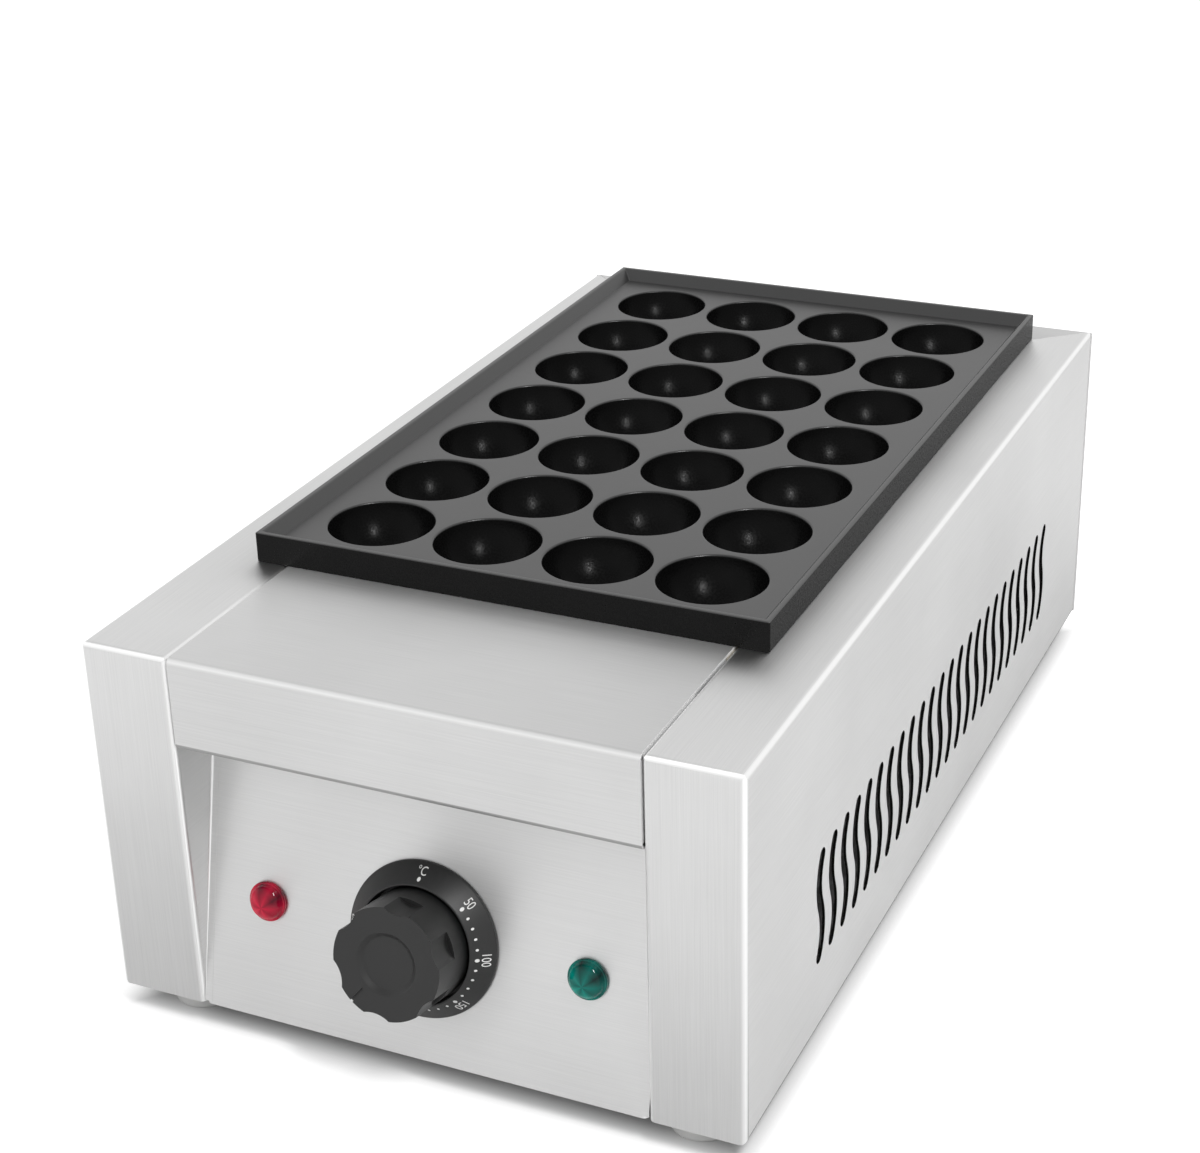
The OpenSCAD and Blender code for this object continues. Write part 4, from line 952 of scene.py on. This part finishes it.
def sleeve(name, low_inset, high_inset, low, high, corner):
    """Four walls between two rectangles, inset from the plate's edge, with their corners rounded."""
    low_size = plate_high - plate_low - 2 * Vector((low_inset, low_inset, 0))
    high_size = plate_high - plate_low - 2 * Vector((high_inset, high_inset, 0))
    middle = (low + high) / 2
    walls = block((plate_middle.x, plate_middle.y, middle), (low_size.x, low_size.y, high - low))
    walls.name = name
    bpy.ops.object.mode_set(mode="EDIT")
    pick(lambda place: place.z > middle)
    bpy.ops.transform.resize(value=(high_size.x / low_size.x, high_size.y / low_size.y, 1))
    shape = bmesh.from_edit_mesh(walls.data)
    bpy.ops.mesh.select_all(action="DESELECT")
    for face in shape.faces:
        face.select_set(abs(face.normal.z) > 0.9)
    bpy.ops.mesh.delete(type="ONLY_FACE")
    if corner:
        shape = bmesh.from_edit_mesh(walls.data)
        for edge in shape.edges:
            edge.select_set(abs(edge.verts[0].co.z - edge.verts[1].co.z) > 1 * mm)
        bpy.ops.mesh.bevel(offset=corner, segments=6)
    bpy.ops.object.mode_set(mode="OBJECT")
    return walls


def join_and_close(main, others, levels):
    """Join other pieces to a main one, and fill between the open edges that lie at each height."""
    join(main, others)
    bpy.ops.object.mode_set(mode="EDIT")
    for level in levels:
        bpy.ops.mesh.select_mode(type="EDGE")
        bpy.ops.mesh.select_all(action="DESELECT")
        shape = bmesh.from_edit_mesh(main.data)
        for edge in shape.edges:
            edge.select_set(edge.is_boundary and all(abs(v.co.z - level) < 2 * near for v in edge.verts))
        bpy.ops.mesh.fill()
        bpy.ops.mesh.select_mode(type="VERT")
    bpy.ops.mesh.select_all(action="SELECT")
    bpy.ops.mesh.normals_make_consistent(inside=False)
    bpy.ops.object.mode_set(mode="OBJECT")


plate = sleeve("baking_plate_casting", 0, 0, skirt_foot, rim_top, corner_round)
recess = sleeve("plate_recess", rim_wide + rim_slope, rim_wide, land, rim_top, 0)
hollow = sleeve("plate_hollow", skirt_wide, skirt_wide, skirt_foot, web, corner_round)
join_and_close(plate, (recess, hollow), (rim_top, skirt_foot))
ease(plate, rim_edge, segments=3, corner=curve_corner)
join_and_close(plate, (top_cups, under_cups), (land, web))
shade(plate, 35)

# the tops are painted grey, partly as wear and partly as a painted sheen, with little grain; the coat is
# duller in the cups and on the flanks
coat_black = (0.0012, 0.0012, 0.0012)
worn_sheen_grey = (0.028, 0.028, 0.028)
worn_sheen_share = 0.8
mottle_share = 0.14
grit_smooth = 0.13
grit_dull = 0.4
worn_rough = 0.34
coat_grain = 0.5
worn_grain = 0.12
coat_gloss = 0.18
cup_gloss = 0.07
flank_share = 0.4
worn_gloss = 0.6
rim_inset = 6 * mm
cast_black, tree, shader, where = new_material("cast_plate_black")
sand = noise(tree, where["Object"], scale=1150.0, detail=3.0)
mottle = noise(tree, where["Object"], scale=45.0)
place = parts_of(tree, where["Object"])
facing = parts_of(tree, where["Normal"])
at_top = spread(tree, place["Z"], 0.0, 1.0, start=land - 0.8 * mm, end=land - 0.1 * mm)
worn_and_sheen = reckon(tree, "MULTIPLY", at_top, spread(tree, facing["Z"], 0.0, 1.0, start=0.3, end=0.7))
wear_and_sheen = reckon(tree, "ADD", reckon(tree, "MULTIPLY", worn_and_sheen, worn_sheen_share),
              reckon(tree, "MULTIPLY", mottle, mottle_share))
grit = spread(tree, sand, grit_smooth, grit_dull, start=0.35, end=0.65)
rough = blend(tree, "FLOAT", worn_and_sheen, grit, worn_rough)
grain = bump(tree, sand, spread(tree, worn_and_sheen, coat_grain, worn_grain), distance=0.10 * mm)
# painted sheen: the tops' grey is partly wear and partly the sheen they would reflect
paint(tree, shader, tint(tree, wear_and_sheen, coat_black, worn_sheen_grey), rough, normal=grain)
in_cup = within(tree, (reckon(tree, "ABSOLUTE", place["X"]), "LESS_THAN", plate_high.x - rim_inset),
                (place["Y"], "GREATER_THAN", plate_low.y + rim_inset),
                (place["Y"], "LESS_THAN", plate_high.y - rim_inset))
flank = reckon(tree, "ABSOLUTE", facing["X"])
coat = reckon(tree, "MULTIPLY", spread(tree, in_cup, coat_gloss, cup_gloss),
              spread(tree, flank, 1.0, flank_share))
gloss = reckon(tree, "ADD", coat, spread(tree, worn_and_sheen, 0.0, worn_gloss))
feed(tree, gloss, shader.inputs["Specular IOR Level"])
dress(plate, "plate", cast_black)
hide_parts("baking_plate")

# Studio: a pale floor, a white surround that dims overhead, and two soft boxes. The floor glows white to the
# camera, but the glow is held back under and just beside the body, a painted shadow over the floor's own
# shadow, and in the steel's reflections the floor glows less close to the body, as painted shade. The camera
# is fitted to the grid of cups and the corners of the body.
floor_grey = (0.6, 0.6, 0.6, 1)
white = (1, 1, 1, 1)
shown_white = 0.65
mirror_near = 0.08
mirror_far = 0.42
mirror_reach = 250 * mm
shadow_in = -12 * mm
shadow_out = 8 * mm
bpy.ops.object.select_all(action="DESELECT")
bpy.ops.mesh.primitive_plane_add(size=12, location=(0, 0, cad_box[0].z))
floor = bpy.context.object
floor.name = "studio_floor"
floor_paint, tree, shader, where = new_material("floor_paint")
paint(tree, shader, floor_grey, rough=0.8)
feed(tree, white, shader.inputs["Emission Color"])
place = parts_of(tree, where["Object"])
beside = reckon(tree, "SUBTRACT", reckon(tree, "ABSOLUTE", place["X"]), housing_high.x)
beyond = reckon(tree, "SUBTRACT", reckon(tree, "ABSOLUTE", place["Y"]), housing_high.y)
apart = reckon(tree, "MAXIMUM", beside, beyond)
# painted shade: in reflections the floor glows less close to the body
away = spread(tree, apart, mirror_near, mirror_far, start=0.0, end=mirror_reach, smooth=True)
# painted shadow: to the camera the floor's glow fades out under and just beside the body
clear = spread(tree, apart, 0.0, shown_white, start=shadow_in, end=shadow_out, smooth=True)
seen = tree.nodes.new("ShaderNodeLightPath").outputs
mirrored = reckon(tree, "MULTIPLY", seen["Is Glossy Ray"], away)
shown = reckon(tree, "MULTIPLY", seen["Is Camera Ray"], clear)
feed(tree, reckon(tree, "MAXIMUM", mirrored, shown), shader.inputs["Emission Strength"])
floor.data.materials.append(floor_paint)

plain_light = 0.68
ceiling_starts = 0.65
ceiling_full = 0.95
ceiling_light = 0.5
world = bpy.data.worlds.new("studio_surround")
bpy.context.scene.world = world
world.use_nodes = True
tree = world.node_tree
surround = tree.nodes["Background"]
feed(tree, white, surround.inputs["Color"])
height = parts_of(tree, tree.nodes.new("ShaderNodeTexCoord").outputs["Generated"])["Z"]
ceiling = spread(tree, height, 1.0, ceiling_light, ceiling_starts, ceiling_full, smooth=True)
seen = tree.nodes.new("ShaderNodeLightPath").outputs
mirrored = blend(tree, "FLOAT", seen["Is Glossy Ray"], plain_light, ceiling)
feed(tree, blend(tree, "FLOAT", seen["Is Camera Ray"], mirrored, 1.0), surround.inputs["Strength"])


def soft_box(name, place, aim, turn, wide, tall, power):
    """Oblong area lamp pointed at an aim, and turned about its own axis."""
    bpy.ops.object.select_all(action="DESELECT")
    bpy.ops.object.light_add(type="AREA", location=place)
    lamp = bpy.context.object
    lamp.name = name
    lamp.data.shape = "RECTANGLE"
    lamp.data.size = wide
    lamp.data.size_y = tall
    lamp.data.energy = power
    facing = (Vector(aim) - Vector(place)).to_track_quat("-Z", "Y")
    lamp.rotation_euler = (facing @ Quaternion((0, 0, 1), math.radians(turn))).to_euler()
    return lamp


soft_box("key_box", (0.80, -0.61, 1.51), (0, 0.03, 0.15), turn=-19, wide=0.14, tall=0.55, power=16)
fill_box = soft_box("fill_box", (-1.6, -1.2, 0.9), (0, 0, 0.1), turn=0, wide=1.2, tall=1.2, power=5)
fill_box.visible_glossy = False

view_turn = math.radians(25.173)
view_rise = math.radians(25.372)
view_roll = math.radians(-1.623)
view_aim = Vector((-0.002568, -0.048168, 0.12222))
view_away = 0.915218
view_back = Vector((math.sin(view_turn) * math.cos(view_rise), -math.cos(view_turn) * math.cos(view_rise),
                    math.sin(view_rise)))
view_right = Vector((math.cos(view_turn), math.sin(view_turn), 0))
view_up = view_back.cross(view_right)
axes = Matrix((view_right * math.cos(view_roll) + view_up * math.sin(view_roll),
               view_up * math.cos(view_roll) - view_right * math.sin(view_roll), view_back)).transposed()
camera_data = bpy.data.cameras.new("photo_camera")
camera_data.sensor_width = 36
camera_data.lens = 71.291
camera_data.clip_start = 0.05
camera_data.clip_end = 50
camera = bpy.data.objects.new("photo_camera", camera_data)
bpy.context.scene.collection.objects.link(camera)
camera.matrix_world = Matrix.Translation(view_aim + view_back * view_away) @ axes.to_4x4()
bpy.context.scene.camera = camera
bpy.context.scene.view_settings.view_transform = "Standard"
